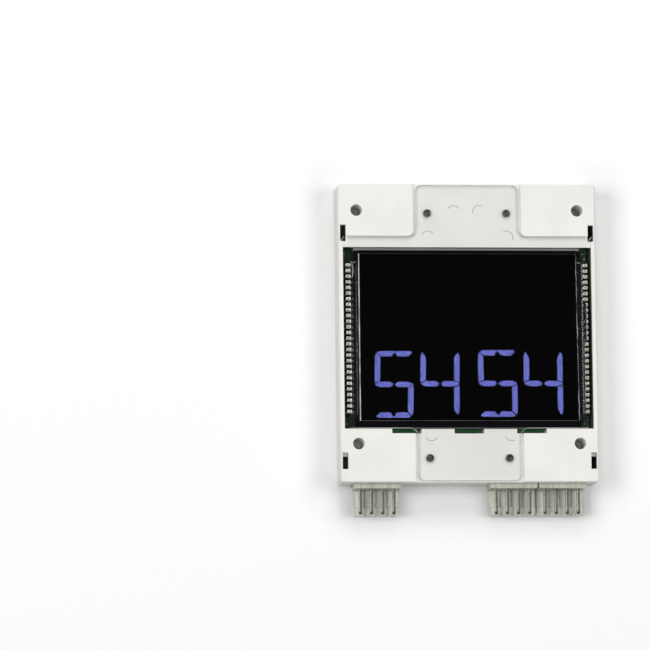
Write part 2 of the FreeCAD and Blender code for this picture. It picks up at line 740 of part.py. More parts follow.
def makeBacklight():
    """frame that stands on the board and holds the sheets, the light guide and its lamps"""
    body = bodyNamed("backlight_frame")
    bar = "(%s - dims.frameTopBar)" % frameTop
    outline = sketchOn(body, "frameOutline", offset=frameUnder)
    addRectangle(outline, minus(frameHalf), frameHalf, frameBottom, bar)
    pad(body, outline, "%s - %s" % (rearGlassBack, frameUnder))
    upperBar = sketchOn(body, "frameBar", offset=frameUnder)
    addRectangle(upperBar, minus(rearGlassHalf), rearGlassHalf, bar, frameTop)
    pad(body, upperBar, "%s - %s" % (rearGlassFace, frameUnder))
    well = sketchOn(body, "sheetWell", offset=rearGlassBack)
    wellBar = "(%s - dims.sheetClearance)" % bar
    addRectangle(well, minus(frameHalf) + " + dims.frameWall", frameHalf + " - dims.frameWall",
                 frameBottom + " + dims.frameWall", wellBar)
    pocket(body, well, "%s - %s" % (rearGlassBack, frameFloorFace))

    # Square legs stand on the board, and two of them end in pegs that pass through it.
    legX = "(%s - dims.frameLegInset)" % frameHalf
    upperLeg = bar + " - dims.frameLeg"
    lowerLeg = frameBottom + " + dims.frameLeg"
    legs = sketchOn(body, "frameLegs", offset=frameUnder)
    for side in ("-", ""):
        for y in (upperLeg, displayY, lowerLeg):
            addCentredRectangle(legs, side + legX, y, "dims.frameLeg", "dims.frameLeg")
    pad(body, legs, "dims.frameLegHeight", down=True)
    pegPlaces = [(minus(legX), upperLeg), (legX, lowerLeg)]
    pegs = sketchOn(body, "framePegs", offset=pcbFront)
    for x, y in pegPlaces:
        addCentredRectangle(pegs, x, y, "dims.framePeg", "dims.framePeg")
    pad(body, pegs, "dims.pcbThickness", down=True)

    wellHalf = "(%s - dims.frameWall - dims.sheetClearance)" % frameHalf
    wellTop = "(%s - dims.sheetClearance)" % wellBar
    wellBottom = "(%s + dims.frameWall + dims.sheetClearance)" % frameBottom
    guideTop = "(%s - dims.ledStripThickness - dims.ledDepth - dims.sheetClearance)" % wellTop
    guideHeight = "(%s - %s)" % (guideTop, wellBottom)
    guideY = "((%s + %s) / 2)" % (guideTop, wellBottom)
    width = "2 * " + wellHalf
    plate("diffuser_sheet", ("0", guideY), (width, guideHeight, "dims.diffuserThickness"), guideFace)
    plate("light_guide", ("0", guideY), (width, guideHeight, "dims.guideThickness"), reflectorFace)
    plate("reflector_sheet", ("0", guideY), (width, guideHeight, "dims.reflectorThickness"), frameFloorFace)
    stripY = "(%s - dims.ledStripThickness / 2)" % wellTop
    strip = (width, "dims.ledStripThickness", "dims.guideThickness")
    plate("led_strip", ("0", stripY), strip, frameFloorFace)
    leds = []
    count = int(number("dims.ledCount"))
    pitch = number(width) / count
    back = number(wellTop) - number("dims.ledStripThickness")
    size = [number("dims.ledWidth"), number("dims.ledDepth"), number("dims.ledHeight")]
    base = number(frameFloorFace) + (number("dims.guideThickness") - size[2]) / 2
    for index in range(count):
        x = (index - (count - 1) / 2) * pitch
        lamp = Part.makeBox(*size, FreeCAD.Vector(x - size[0] / 2, back - size[1], base))
        leds.append(lamp.makeChamfer(size[1] / 4, lamp.Edges[:1]))
    group("backlight_leds", leds)
    return pegPlaces


def makePcb(pegPlaces):
    """circuit board, notched round the corner posts, with holes for the pegs, clip pins and headers"""
    body = bodyNamed("pcb")
    outline = sketchOn(body, "boardOutline", offset=pcbRear)
    deep = "(%s - dims.cornerPost / 2 - dims.pcbClearance)" % holeX
    span = "(dims.cornerPost / 2 + dims.pcbClearance)"
    side = [
        (pcbHalf, pcbBottom), (pcbHalf, "-%s - %s" % (holeY, span)), (deep, "-%s - %s" % (holeY, span)),
        (deep, "-%s + %s" % (holeY, span)), (pcbHalf, "-%s + %s" % (holeY, span)),
        (pcbHalf, "%s - %s" % (holeY, span)), (deep, "%s - %s" % (holeY, span)),
        (deep, "%s + %s" % (holeY, span)), (pcbHalf, "%s + %s" % (holeY, span)), (pcbHalf, pcbTop),
    ]
    addPolygon(outline, side + [(minus(x), y) for x, y in reversed(side)])
    pad(body, outline, "dims.pcbThickness")
    holes = sketchOn(body, "boardHoles", offset=pcbFront)
    pegHole = "dims.framePeg + 2 * dims.fitClearance"
    for x, y in pegPlaces:
        addCentredRectangle(holes, x, y, pegHole, pegHole)
    legY = "(%s + dims.headerPinBend)" % pcbBottom
    legHole = "dims.headerPin + 2 * dims.slotClearance"
    for centre in headerCentres.values():
        for index in range(int(number("dims.headerPins"))):
            x = "%s + (%d - (dims.headerPins - 1) / 2) * dims.headerPitch" % (centre, index)
            addCentredRectangle(holes, x, legY, legHole, legHole)
    pocket(body, holes, "dims.pcbThickness")
    slots = sketchOn(body, "pinSlots", offset=pcbFront)
    for side in ("-", ""):
        addCentredRectangle(slots, side + lcdPinX, firstPinY, "dims.pinMetal + 2 * dims.slotClearance",
                            "dims.pinLegWidth + 2 * dims.slotClearance")
    cut = pocket(body, slots, "dims.pcbThickness")
    repeatAlong(body, [cut], "Y_Axis", "dims.lcdPinPitch", lcdPinSteps + " + 1")
    return body


def makeHeader(side, centre):
    """moulded block with a friction plate under its pins"""
    body = bodyNamed("header_" + side)
    low = "dims.headerLift"
    plateFace = "(dims.headerLift + dims.plateThickness)"
    plateEnd = "(%s - dims.plateLength)" % headerFront
    latch = "(%s + dims.latchHeight)" % plateFace
    latchFront = "(%s + dims.latchSetback)" % plateEnd
    latchBack = "(%s + dims.latchRamp + dims.latchLand)" % latchFront
    outline = sketchOn(body, side + "HeaderOutline", "YZ_Plane", centre)
    addPolygon(outline, [
        (pcbBottom, low), (pcbBottom, headerTop), (headerFront, headerTop), (headerFront, plateFace),
        (latchBack + " + dims.latchSetback", plateFace), (latchBack, latch),
        (latchFront + " + dims.latchRamp", latch), (latchFront, plateFace),
        (plateEnd, plateFace + " - dims.plateBevel"), (plateEnd, low),
    ])
    block = pad(body, outline, "dims.headerWidth", centred=True)

    def topCorner(middle, direction):
        return abs(direction.z) > 0.99 and near(middle.y, headerFront)
    dress(body, "Chamfer", block, edgesWhere(block, topCorner), "dims.blockChamfer", side + "BlockCorners")
    grooves = sketchOn(body, side + "PlateGrooves", offset=plateFace)
    firstGroove = "(%s - (dims.headerPins - 2) * dims.headerPitch / 2)" % centre
    addRectangle(grooves, firstGroove + " - dims.grooveWidth / 2", firstGroove + " + dims.grooveWidth / 2",
                 plateEnd + " - dims.cutOver", headerFront)
    groove = pocket(body, grooves, "dims.plateThickness / 2")
    # Square bores for the pins, with the first one repeated across the block.
    firstPin = "(%s - (dims.headerPins - 1) * dims.headerPitch / 2)" % centre
    bores = sketchOn(body, side + "PinBores", "XZ_Plane", minus(pcbBottom))
    bore = "dims.headerPin + 2 * dims.fitClearance"
    addCentredRectangle(bores, firstPin, headerPinZ, bore, bore)
    boring = pocket(body, bores, "2 * (%s - %s)" % (pcbBottom, headerFront), centred=True)
    repeatAlong(body, [groove], "X_Axis", "dims.headerPitch", "dims.headerPins - 1")
    repeatAlong(body, [boring], "X_Axis", "dims.headerPitch", "dims.headerPins")
    return body


def makeHeaderPins(side, centre):
    """square pins bent down behind the block, with tapered tips"""
    body = bodyNamed("header_pins_" + side)
    firstPin = "(%s - (dims.headerPins - 1) * dims.headerPitch / 2)" % centre
    half = "dims.headerPin / 2"
    tipY = "(%s - dims.headerPinReach)" % headerFront
    legY = "(%s + dims.headerPinBend)" % pcbBottom
    taper = "dims.headerPinTaper"
    upper = "%s + %s" % (headerPinZ, half)
    lower = "%s - %s" % (headerPinZ, half)
    inner = "%s - %s" % (legY, half)
    outer = "%s + %s" % (legY, half)
    tail = "%s - dims.pinTail" % pcbRear
    profile = sketchOn(body, side + "PinProfile", "YZ_Plane", firstPin)
    addPolygon(profile, [
        (tipY, "%s + %s - %s" % (headerPinZ, half, taper)), (tipY + " + 2 * " + taper, upper),
        (outer + " - dims.headerPinBevel", upper), (outer, upper + " - dims.headerPinBevel"),
        (outer, tail), (inner, tail),
        (inner, lower), (tipY + " + 2 * " + taper, lower),
        (tipY, "%s - %s + %s" % (headerPinZ, half, taper)),
    ])
    pin = pad(body, profile, "dims.headerPin", centred=True)

    def tipSides(middle, direction):
        return near(middle.y, tipY) and abs(direction.z) > 0.99
    tip = dress(body, "Chamfer", pin, edgesWhere(pin, tipSides), taper, side + "PinTip")
    row = body.newObject("PartDesign::LinearPattern", side + "PinRow")
    row.Originals = [pin, tip]
    row.Direction = (originPart(body, "X_Axis"), [""])
    row.Mode = "Spacing"
    row.setExpression("Offset", "dims.headerPitch")
    row.setExpression("Occurrences", "dims.headerPins")
    body.Tip = row
    return body


def slantedLead(x, y, angle, width):
    """slanted lead of a flat package, its inner end at x, y and pointing away at an angle"""
    floor = number(pcbFront)
    metal = number("dims.leadMetal")
    reach = number("dims.leadReach")
    exit = floor + number("dims.standOff") + number("dims.packageHeight") / 2
    profile = [(0, exit), (reach - metal, floor), (reach, floor), (0, exit + 2 * metal)]
    points = [FreeCAD.Vector(out, -width / 2, level) for out, level in profile]
    lead = Part.Face(Part.makePolygon(points + points[:1])).extrude(FreeCAD.Vector(0, width, 0))
    lead.rotate(FreeCAD.Vector(0, 0, 0), FreeCAD.Vector(0, 0, 1), angle)
    lead.translate(FreeCAD.Vector(x, y, 0))
    return lead


def chipPackage(x, y, long, wide, pitch, leadsPerRow, rows):
    """moulded package with leads on two or four sides, as separate solids"""
    base = number(pcbFront) + number("dims.standOff")
    height = number("dims.packageHeight")
    case = Part.makeBox(long, wide, height, FreeCAD.Vector(x - long / 2, y - wide / 2, base))
    case = case.makeChamfer(number("dims.packageChamfer"), edgesAtLevel(case, base + height))
    solids = [case]
    for angle in rows:
        turn = math.radians(angle)
        outward = long / 2 if angle in (0, 180) else wide / 2
        for index in range(int(leadsPerRow)):
            along = (index - (leadsPerRow - 1) / 2) * pitch
            leadX = x + outward * math.cos(turn) - along * math.sin(turn)
            leadY = y + outward * math.sin(turn) + along * math.cos(turn)
            solids.append(slantedLead(leadX, leadY, angle, pitch / 2))
    return solids


def capacitorCan(x, y, base):
    """aluminium can on its square foot, two corners of the foot cut off"""
    radius = number("dims.capacitorDiameter") / 2
    height = number("dims.capacitorHeight")
    footHeight = number("dims.capacitorFoot")
    inset = number("dims.capacitorInset")
    foot = Part.makeBox(2 * radius, 2 * radius, footHeight, FreeCAD.Vector(x - radius, y - radius, base))
    cut = [edge for edge in edgesAtLevel(foot, base + footHeight / 2) if edge.CenterOfMass.y < y]
    foot = foot.makeChamfer(radius / 4, cut)
    can = Part.makeCylinder(radius - inset, height - footHeight, FreeCAD.Vector(x, y, base + footHeight))
    return foot.fuse(can)


def chipRow(count, pitch, size, centreY, base):
    """row of small ceramic parts along X"""
    long, wide, height = size
    chips = []
    for index in range(int(count)):
        x = (index - (count - 1) / 2) * pitch
        corner = FreeCAD.Vector(x - long / 2, centreY - wide / 2, base)
        chips.append(Part.makeBox(long, wide, height, corner))
    return chips


def makeCircuit():
    """parts soldered to the board's front face, behind the display and under the flanges"""
    base = number(pcbFront)
    middle = number(displayY)
    fourSides = (0, 90, 180, 270)
    twoSides = (0, 180)
    side = number("dims.controllerBody")
    leads = (number("dims.controllerPitch"), number("dims.controllerLeads"))
    group("microcontroller", chipPackage(0, middle, side, side, *leads, fourSides))
    wide = number("dims.driverWidth")
    long = number("dims.driverLength")
    leads = (number("dims.driverPitch"), number("dims.driverLeads"))
    drivers = []
    for sign in (-1, 1):
        drivers += chipPackage(sign * number("dims.driverX"), middle, wide, long, *leads, twoSides)
    group("display_drivers", drivers)

    flangeY = (number(pcbTop) + number(windowTop)) / 2
    lowerY = (number(pcbBottom) + number(windowBottom)) / 2
    screwX = number("dims.screwOffset")
    wide = number("dims.smallPackageWidth")
    long = number("dims.smallPackageLength")
    leads = (number("dims.smallPitch"), number("dims.smallLeads"))
    group("voltage_regulator", chipPackage(screwX, flangeY - long, wide, long, *leads, twoSides))
    group("bus_transceiver", chipPackage(0, lowerY, wide, long, *leads, twoSides))

    diodeY = flangeY - long - wide / 4
    side = number("dims.inductorSide")
    tall = number("dims.inductorHeight")
    shield = Part.makeBox(side, side, tall, FreeCAD.Vector(-side / 2, flangeY - side / 2, base))
    group("power_inductor", [shield.makeChamfer(side / 6, edgesAtLevel(shield, base + tall / 2))])
    long = number("dims.diodeLength")
    wide = number("dims.diodeWidth")
    tall = number("dims.diodeHeight")
    diode = Part.makeBox(long, wide, tall, FreeCAD.Vector(-screwX - long / 2, diodeY - wide / 2, base))
    group("input_diode", [diode.makeChamfer(wide / 6, edgesAtLevel(diode, base + tall))])
    canX = number(holeX) - number("dims.capacitorInboard")
    group("electrolytic_capacitors", [capacitorCan(sign * canX, flangeY, base) for sign in (-1, 1)])

    long = number("dims.crystalLength")
    wide = number("dims.crystalWidth")
    tall = number("dims.crystalHeight")
    crystalY = middle - number("dims.crystalDrop")
    case = Part.makeBox(long, wide, tall, FreeCAD.Vector(-long / 2, crystalY - wide / 2, base))
    group("crystal", [case.makeChamfer(wide / 6, edgesAtLevel(case, base + tall / 2))])

    long = number("dims.chipLength")
    wide = number("dims.chipWidth")
    rowY = middle + number("dims.resistorRise")
    size = (wide, long, number("dims.chipHeight"))
    row = (number("dims.resistorCount"), number("dims.resistorPitch"))
    group("chip_resistors", chipRow(*row, size, rowY, base))
    rowY = middle - number("dims.ceramicDrop")
    size = (long, wide, number("dims.ceramicHeight"))
    row = (number("dims.ceramicCount"), number("dims.ceramicPitch"))
    group("chip_capacitors", chipRow(*row, size, rowY, base))


makeHousing()
makeClearCover()
makeScrews()
makeCell()
makeDigits()
makeLcdPins("lcd_pins_left", "left")
makeLcdPins("lcd_pins_right", "right")
makeSealant()
makePcb(makeBacklight())
for side, centre in headerCentres.items():
    makeHeader(side, centre)
    makeHeaderPins(side, centre)
makeCircuit()
doc.recompute()

# Every feature has to be sound before a file is written.
for item in doc.Objects:
    if "Invalid" in item.State or "Error" in item.State:
        raise RuntimeError("%s is %s" % (item.Name, item.State))

helpers = ("sealOuter", "sealInner")
kinds = ("PartDesign::Body", "Part::Box", "Part::Cut", "Part::Feature")
os.makedirs("parts", exist_ok=True)
for item in doc.Objects:
    if item.TypeId not in kinds or item.Label in helpers:
        continue
    if item.Shape.isNull() or not item.Shape.isValid():
        raise RuntimeError("%s has no sound shape" % item.Label)
    item.Shape.exportStep("parts/%s.step" % item.Label)
    print("%-26s %3d solids %10.2f mm3" % (item.Label, len(item.Shape.Solids), item.Shape.Volume))
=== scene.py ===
import math
import random

import bmesh
import bpy
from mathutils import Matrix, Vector


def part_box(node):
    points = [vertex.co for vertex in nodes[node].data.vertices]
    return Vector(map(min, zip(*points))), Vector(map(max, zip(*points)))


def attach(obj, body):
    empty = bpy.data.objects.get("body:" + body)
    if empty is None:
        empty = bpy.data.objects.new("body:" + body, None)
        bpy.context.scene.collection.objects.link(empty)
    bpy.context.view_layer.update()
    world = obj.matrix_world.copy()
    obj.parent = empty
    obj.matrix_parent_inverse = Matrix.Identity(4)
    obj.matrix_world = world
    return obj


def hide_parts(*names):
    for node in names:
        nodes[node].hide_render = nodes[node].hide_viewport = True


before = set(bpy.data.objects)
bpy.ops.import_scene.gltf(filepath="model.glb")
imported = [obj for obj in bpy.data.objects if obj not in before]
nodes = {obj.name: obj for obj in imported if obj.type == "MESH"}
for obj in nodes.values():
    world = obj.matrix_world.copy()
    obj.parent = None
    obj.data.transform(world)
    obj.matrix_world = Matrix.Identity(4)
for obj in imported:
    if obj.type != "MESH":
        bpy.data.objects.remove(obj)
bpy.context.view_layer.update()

# Display board of a lift: white moulded housing, clear cover, liquid-crystal display, green board.
# The frame is in metres, X across, Y up the display, Z the way it faces; sizes here are in millimetres.

mm = 0.001


def linearColour(hexCode):
    parts = [int(hexCode[i:i + 2], 16) / 255 for i in (1, 3, 5)]
    return [p / 12.92 if p <= 0.04045 else ((p + 0.055) / 1.055) ** 2.4 for p in parts] + [1.0]


def addNode(tree, kind, settings=None, links=None):
    node = tree.nodes.new(kind)
    for name, value in (settings or {}).items():
        if isinstance(name, int) or name in node.inputs:
            node.inputs[name].default_value = value
        else:
            setattr(node, name, value)
    for name, source in (links or {}).items():
        tree.links.new(source, node.inputs[name])
    return node


def newTree(name):
    material = bpy.data.materials.new(name)
    material.use_nodes = True
    material.node_tree.nodes.clear()
    return material, material.node_tree


def pastBox(tree, box, mirrored):
    # on each axis, how far a point lies outside a box given in millimetres, or outside its mirror images too
    place = addNode(tree, "ShaderNodeTexCoord").outputs["Object"]
    steps = [("SUBTRACT", box["centre"]), ("ABSOLUTE", None), ("SUBTRACT", box["half"])]
    if mirrored:
        steps.insert(0, ("ABSOLUTE", None))
    for operation, vector in steps:
        settings = {"operation": operation}
        if vector:
            settings[1] = [part * mm for part in vector]
        place = addNode(tree, "ShaderNodeVectorMath", settings, {0: place}).outputs["Vector"]
    return place


def zoneShade(tree, colour, paintedShadeZone):
    # painted shade: inside a box and its mirror images the colour turns darker, standing in for the shade of
    # a deep corner
    axes = addNode(tree, "ShaderNodeSeparateXYZ", links={0: pastBox(tree, paintedShadeZone, True)})
    most = axes.outputs["X"]
    for axis in ("Y", "Z"):
        most = addNode(tree, "ShaderNodeMath", {"operation": "MAXIMUM"},
                       {0: most, 1: axes.outputs[axis]}).outputs["Value"]
    soft = 0.2 * mm  # half the width over which the shade sets in
    inside = addNode(tree, "ShaderNodeMapRange", {"From Min": soft, "From Max": -soft}, {"Value": most})
    return addNode(tree, "ShaderNodeMix",
                   {"data_type": "RGBA", "blend_type": "MULTIPLY", 7: linearColour(paintedShadeZone["shade"])},
                   {0: inside.outputs["Result"], 6: colour.outputs[2]})


def grained(name, look):
    # colour drifts between two shades, roughness between two values, and fine grain dents the surface
    material, tree = newTree(name)
    place = addNode(tree, "ShaderNodeTexCoord").outputs["Object"]
    place = addNode(tree, "ShaderNodeMapping", {"Scale": look.get("stretch", (1, 1, 1))},
                    {"Vector": place}).outputs["Vector"]
    drift = addNode(tree, "ShaderNodeTexNoise", {"Scale": 1 / (look["patchMm"] * mm), "Detail": 4.0},
                    {"Vector": place})
    grain = addNode(tree, "ShaderNodeTexNoise", {"Scale": 1 / (look["grainMm"] * mm), "Detail": 3.0},
                    {"Vector": place})
    softEdge = addNode(tree, "ShaderNodeBevel", {"samples": 4, "Radius": look.get("edgeMm", 0.05) * mm})
    blend = addNode(tree, "ShaderNodeMapRange", {"From Min": 0.35, "From Max": 0.65},
                    {"Value": drift.outputs["Fac"]})
    first, second = (linearColour(hexCode) for hexCode in look["colours"])
    colour = addNode(tree, "ShaderNodeMix", {"data_type": "RGBA", 6: first, 7: second},
                     {0: blend.outputs["Result"]})
    # painted shade: a look that gives a shade zone is darkened inside it
    if "paintedShadeZone" in look:
        colour = zoneShade(tree, colour, look["paintedShadeZone"])
    low, high = look["roughness"]
    rough = addNode(tree, "ShaderNodeMapRange",
                    {"From Min": 0.3, "From Max": 0.7, "To Min": low, "To Max": high},
                    {"Value": grain.outputs["Fac"]})
    dents = addNode(tree, "ShaderNodeBump",
                    {"Strength": look.get("bump", 0.5), "Distance": look["depthMm"] * mm},
                    {"Height": grain.outputs["Fac"], "Normal": softEdge.outputs["Normal"]})
    shader = addNode(tree, "ShaderNodeBsdfPrincipled", look.get("shader", {}),
                     {"Base Color": colour.outputs[2], "Roughness": rough.outputs["Result"],
                      "Normal": dents.outputs["Normal"]})
    addNode(tree, "ShaderNodeOutputMaterial", links={"Surface": shader.outputs["BSDF"]})
    return material


def clearSheet(name, look):
    # see-through plate: light passes straight on, and its gloss grows at a glancing angle
    material, tree = newTree(name)
    place = addNode(tree, "ShaderNodeTexCoord").outputs["Object"]
    haze = addNode(tree, "ShaderNodeTexNoise", {"Scale": 1 / (look["grainMm"] * mm), "Detail": 4.0},
                   {"Vector": place})
    low, high = look["roughness"]
    rough = addNode(tree, "ShaderNodeMapRange", {"To Min": low, "To Max": high},
                    {"Value": haze.outputs["Fac"]})
    gloss = addNode(tree, "ShaderNodeBsdfGlossy", links={"Roughness": rough.outputs["Result"]})
    through = addNode(tree, "ShaderNodeBsdfTransparent", {"Color": linearColour(look["tint"])})
    edge = addNode(tree, "ShaderNodeFresnel", {"IOR": look["ior"]})
    share = addNode(tree, "ShaderNodeMath", {"operation": "MULTIPLY", 1: look["glossShare"]},
                    {0: edge.outputs["Fac"]})
    mixed = addNode(tree, "ShaderNodeMixShader", links={0: share.outputs["Value"], 1: through.outputs["BSDF"],
                                                        2: gloss.outputs["BSDF"]})
    addNode(tree, "ShaderNodeOutputMaterial", links={"Surface": mixed.outputs["Shader"]})
    return material


# Looks of the real materials, each with what it gives the eye.
looks = {
    # injection-moulded ABS: warm white, satin, with a fine sparked grain; its inner side walls and slots
    # get painted shade, a dark green-grey for the little light that comes back out of them beside the green
    # board
    "mouldedAbs": {"colours": ("#F1F0EB", "#ECEAE5"), "patchMm": 14, "grainMm": 0.35, "depthMm": 0.02,
                   "edgeMm": 0.16, "roughness": (0.42, 0.6), "shader": {"IOR": 1.53},
                   "paintedShadeZone": {"centre": (43.45, 0, 5.6), "half": (1.95, 50.6, 5.9), "shade": "#5C6155"}},
    # zinc-plated steel screws, dulled: dark grey with a soft shine
    "platedScrewSteel": {"colours": ("#747472", "#242422"), "patchMm": 0.8, "grainMm": 0.3, "depthMm": 0.03,
                         "roughness": (0.35, 0.6), "shader": {"Metallic": 1.0}},
    # opal polycarbonate diffuser: milk white, frosted
    "opalDiffuser": {"colours": ("#E4E4E0", "#DCDCDA"), "patchMm": 8, "grainMm": 0.2, "depthMm": 0.01,
                     "roughness": (0.6, 0.8), "shader": {"IOR": 1.58}},
    # silvered polyester reflector: bright mirror
    "silveredFilm": {"colours": ("#E8E8EA", "#DEDEE2"), "patchMm": 9, "grainMm": 1.0, "depthMm": 0.002,
                     "roughness": (0.08, 0.16), "shader": {"Metallic": 1.0}},
    # cured epoxy seal: dark grey, dull
    "curedEpoxySeal": {"colours": ("#242426", "#1A1A1C"), "patchMm": 2, "grainMm": 0.3, "depthMm": 0.01,
                       "roughness": (0.4, 0.6), "shader": {"IOR": 1.55}},
    # tinned brass clip pins: bright, slightly warm
    "tinnedBrass": {"colours": ("#D9D6CC", "#C4C0B4"), "patchMm": 0.8, "grainMm": 0.1, "depthMm": 0.004,
                    "roughness": (0.22, 0.38), "shader": {"Metallic": 1.0}},
    # polypropylene backlight frame: satin, painted pale grey for the shade it lies in under the housing's top
    # edge
    "frameMoulding": {"colours": ("#9A9A98", "#8E8E8C"), "patchMm": 6, "grainMm": 0.3, "depthMm": 0.01,
                      "roughness": (0.45, 0.6), "shader": {"IOR": 1.49}},
    # glass-fibre board under green solder mask: deep green, glossy
    "solderMask": {"colours": ("#164A22", "#0E3717"), "patchMm": 2.5, "grainMm": 0.5, "depthMm": 0.008,
                   "roughness": (0.28, 0.42), "shader": {"IOR": 1.55}},
    # moulded lamp package with its yellow phosphor
    "lampPackage": {"colours": ("#E9E2A8", "#E2D88E"), "patchMm": 1.2, "grainMm": 0.2, "depthMm": 0.004,
                    "roughness": (0.35, 0.5), "shader": {"IOR": 1.5}},
    # natural nylon of the pin headers: translucent grey-beige, flow streaks; greyer close to the housing,
    # painted shade for the housing's shadow over the header block
    "naturalNylon": {"colours": ("#F4F4EA", "#D2D4C6"), "patchMm": 1.6, "grainMm": 0.4, "depthMm": 0.012,
                     "edgeMm": 0.15, "stretch": (1.0, 0.12, 0.5), "roughness": (0.35, 0.5),
                     "shader": {"IOR": 1.53, "Subsurface Weight": 0.35, "Subsurface Scale": 0.002,
                                "Subsurface Radius": (1.0, 1.0, 0.9)},
                     "paintedShadeZone": {"centre": (0, 50.0, 6.0), "half": (60.0, 7.5, 12.0), "shade": "#E0E1DC"}},
    # tin-plated header pins: grey metal
    "tinPlate": {"colours": ("#8C8C86", "#666662"), "patchMm": 1.0, "grainMm": 0.15, "depthMm": 0.004,
                 "roughness": (0.28, 0.42), "shader": {"Metallic": 1.0}},
    # epoxy moulding compound of the chips: black, matt
    "chipMoulding": {"colours": ("#202124", "#17181A"), "patchMm": 3, "grainMm": 0.15, "depthMm": 0.01,
                     "roughness": (0.5, 0.7), "shader": {"IOR": 1.55}},
    # sintered ferrite: dark grey, dull
    "sinteredFerrite": {"colours": ("#3A3A3C", "#2E2E30"), "patchMm": 1.5, "grainMm": 0.2, "depthMm": 0.015,
                        "roughness": (0.6, 0.8), "shader": {"IOR": 1.6}},
    # drawn aluminium can: bright satin
    "drawnAluminium": {"colours": ("#CFCFD2", "#BDBDC2"), "patchMm": 1.5, "grainMm": 0.12, "depthMm": 0.003,
                       "roughness": (0.25, 0.38), "shader": {"Metallic": 1.0}},
    # nickel-plated crystal lid: bright, faintly warm
    "nickelPlate": {"colours": ("#C9C5BC", "#B6B2A8"), "patchMm": 1.0, "grainMm": 0.1, "depthMm": 0.003,
                    "roughness": (0.2, 0.34), "shader": {"Metallic": 1.0}},
    # glazed resistor top: black glass
    "glazedResistor": {"colours": ("#18181A", "#101012"), "patchMm": 1.0, "grainMm": 0.1, "depthMm": 0.003,
                       "roughness": (0.25, 0.4), "shader": {"IOR": 1.52}},
    # fired barium titanate: tan, matt
    "firedCeramic": {"colours": ("#A98B66", "#987B58"), "patchMm": 0.8, "grainMm": 0.1, "depthMm": 0.005,
                     "roughness": (0.5, 0.65), "shader": {"IOR": 1.6}},
}
looks.update({
    # ground edge of the glass and its film, frosted: painted highlight, a thin pale line where the edge
    # catches the light
    "paintedEdgeGlint": {"colours": ("#E4E5EA", "#85878E"), "patchMm": 5.0, "grainMm": 0.3, "depthMm": 0.004,
                        "roughness": (0.3, 0.5), "shader": {"IOR": 1.52}},
    # black screen-printed border ink on glass: even, nearly black
    "borderInk": {"colours": ("#08080C", "#0A0A0F"), "patchMm": 9, "grainMm": 0.8, "depthMm": 0.0002,
                  "roughness": (0.05, 0.09), "shader": {"IOR": 1.5}},
    # dark light-cured resin over the clips: wet black with a green cast
    "darkResin": {"colours": ("#121419", "#0A0F0D"), "patchMm": 1.6, "grainMm": 0.9, "depthMm": 0.08,
                  "roughness": (0.08, 0.2), "shader": {"IOR": 1.5}},
    # pin edge: painted highlight, a pale strip nearly as light as the nylon behind it, for the light on a
    # tinned pin's edge
    "paintedPinSheen": {"colours": ("#C9C9C0", "#A9A9A0"), "patchMm": 1.2, "grainMm": 0.2, "depthMm": 0.01,
                   "roughness": (0.55, 0.75), "shader": {"Metallic": 0.4}},
    # tin-lead solder: bright, slightly uneven
    "solder": {"colours": ("#CFCFCB", "#A9A9A6"), "patchMm": 0.7, "grainMm": 0.15, "depthMm": 0.006,
               "roughness": (0.2, 0.4), "shader": {"Metallic": 1.0}},
    # polished polycarbonate edge: painted light, a pale half-clear strip for the light the edge bends, so it
    # reads as a soft grey line
    "paintedEdgeLight": {"colours": ("#F2F3F1", "#DDDFDC"), "patchMm": 4, "grainMm": 0.5, "depthMm": 0.002,
                     "roughness": (0.1, 0.2), "shader": {"IOR": 1.58, "Alpha": 0.7}},
    # the same edge where it lies in shade, dull grey
    "shadedGlassEdge": {"colours": ("#6E6F73", "#4C4D50"), "patchMm": 6.0, "grainMm": 0.3, "depthMm": 0.004,
                        "roughness": (0.4, 0.6), "shader": {"IOR": 1.52}},
    # meniscus of the resin along the glass: painted highlight, pale where it would catch the light, dark
    # between
    "paintedMeniscusGlint": {"colours": ("#C6C7CB", "#18191C"), "patchMm": 6.0, "grainMm": 0.3, "depthMm": 0.004,
                      "roughness": (0.3, 0.5), "shader": {"IOR": 1.5}},
    # painted shade round the soldered legs: a dark brown film for the shade between the clip legs
    "paintedClipShade": {"colours": ("#1E1A0C", "#12110A"), "patchMm": 1.5, "grainMm": 0.3, "depthMm": 0.02,
                  "roughness": (0.15, 0.35), "shader": {"IOR": 1.54}},
    # moulded ABS of the latch tips: the same white, seen through the slots
    "latchAbs": {"colours": ("#F1F0EB", "#E4E2DC"), "patchMm": 3, "grainMm": 0.3, "depthMm": 0.01,
                 "roughness": (0.45, 0.6), "shader": {"IOR": 1.53}},
    # witness mark of an ejector pin in moulded ABS: painted shade, a little darker along the edge of the
    # mark's small step
    "paintedMarkShade": {"colours": ("#A3A09C", "#94918D"), "patchMm": 3, "grainMm": 0.3, "depthMm": 0.01,
                  "roughness": (0.5, 0.65), "shader": {"IOR": 1.53}},
    # solder mask over a copper plane: saturated green, painted lighter for the light that falls through the
    # notches of the housing
    "paintedLightFill": {"colours": ("#2F9A48", "#23843A"), "patchMm": 2.5, "grainMm": 0.4, "depthMm": 0.006,
                   "roughness": (0.3, 0.42), "shader": {"IOR": 1.55}},
    # solder mask over copper: the lighter green of tracks and filled areas
    "maskedCopper": {"colours": ("#2B6B36", "#215A2B"), "patchMm": 2.0, "grainMm": 0.4, "depthMm": 0.006,
                     "roughness": (0.25, 0.38), "shader": {"IOR": 1.55}},
})
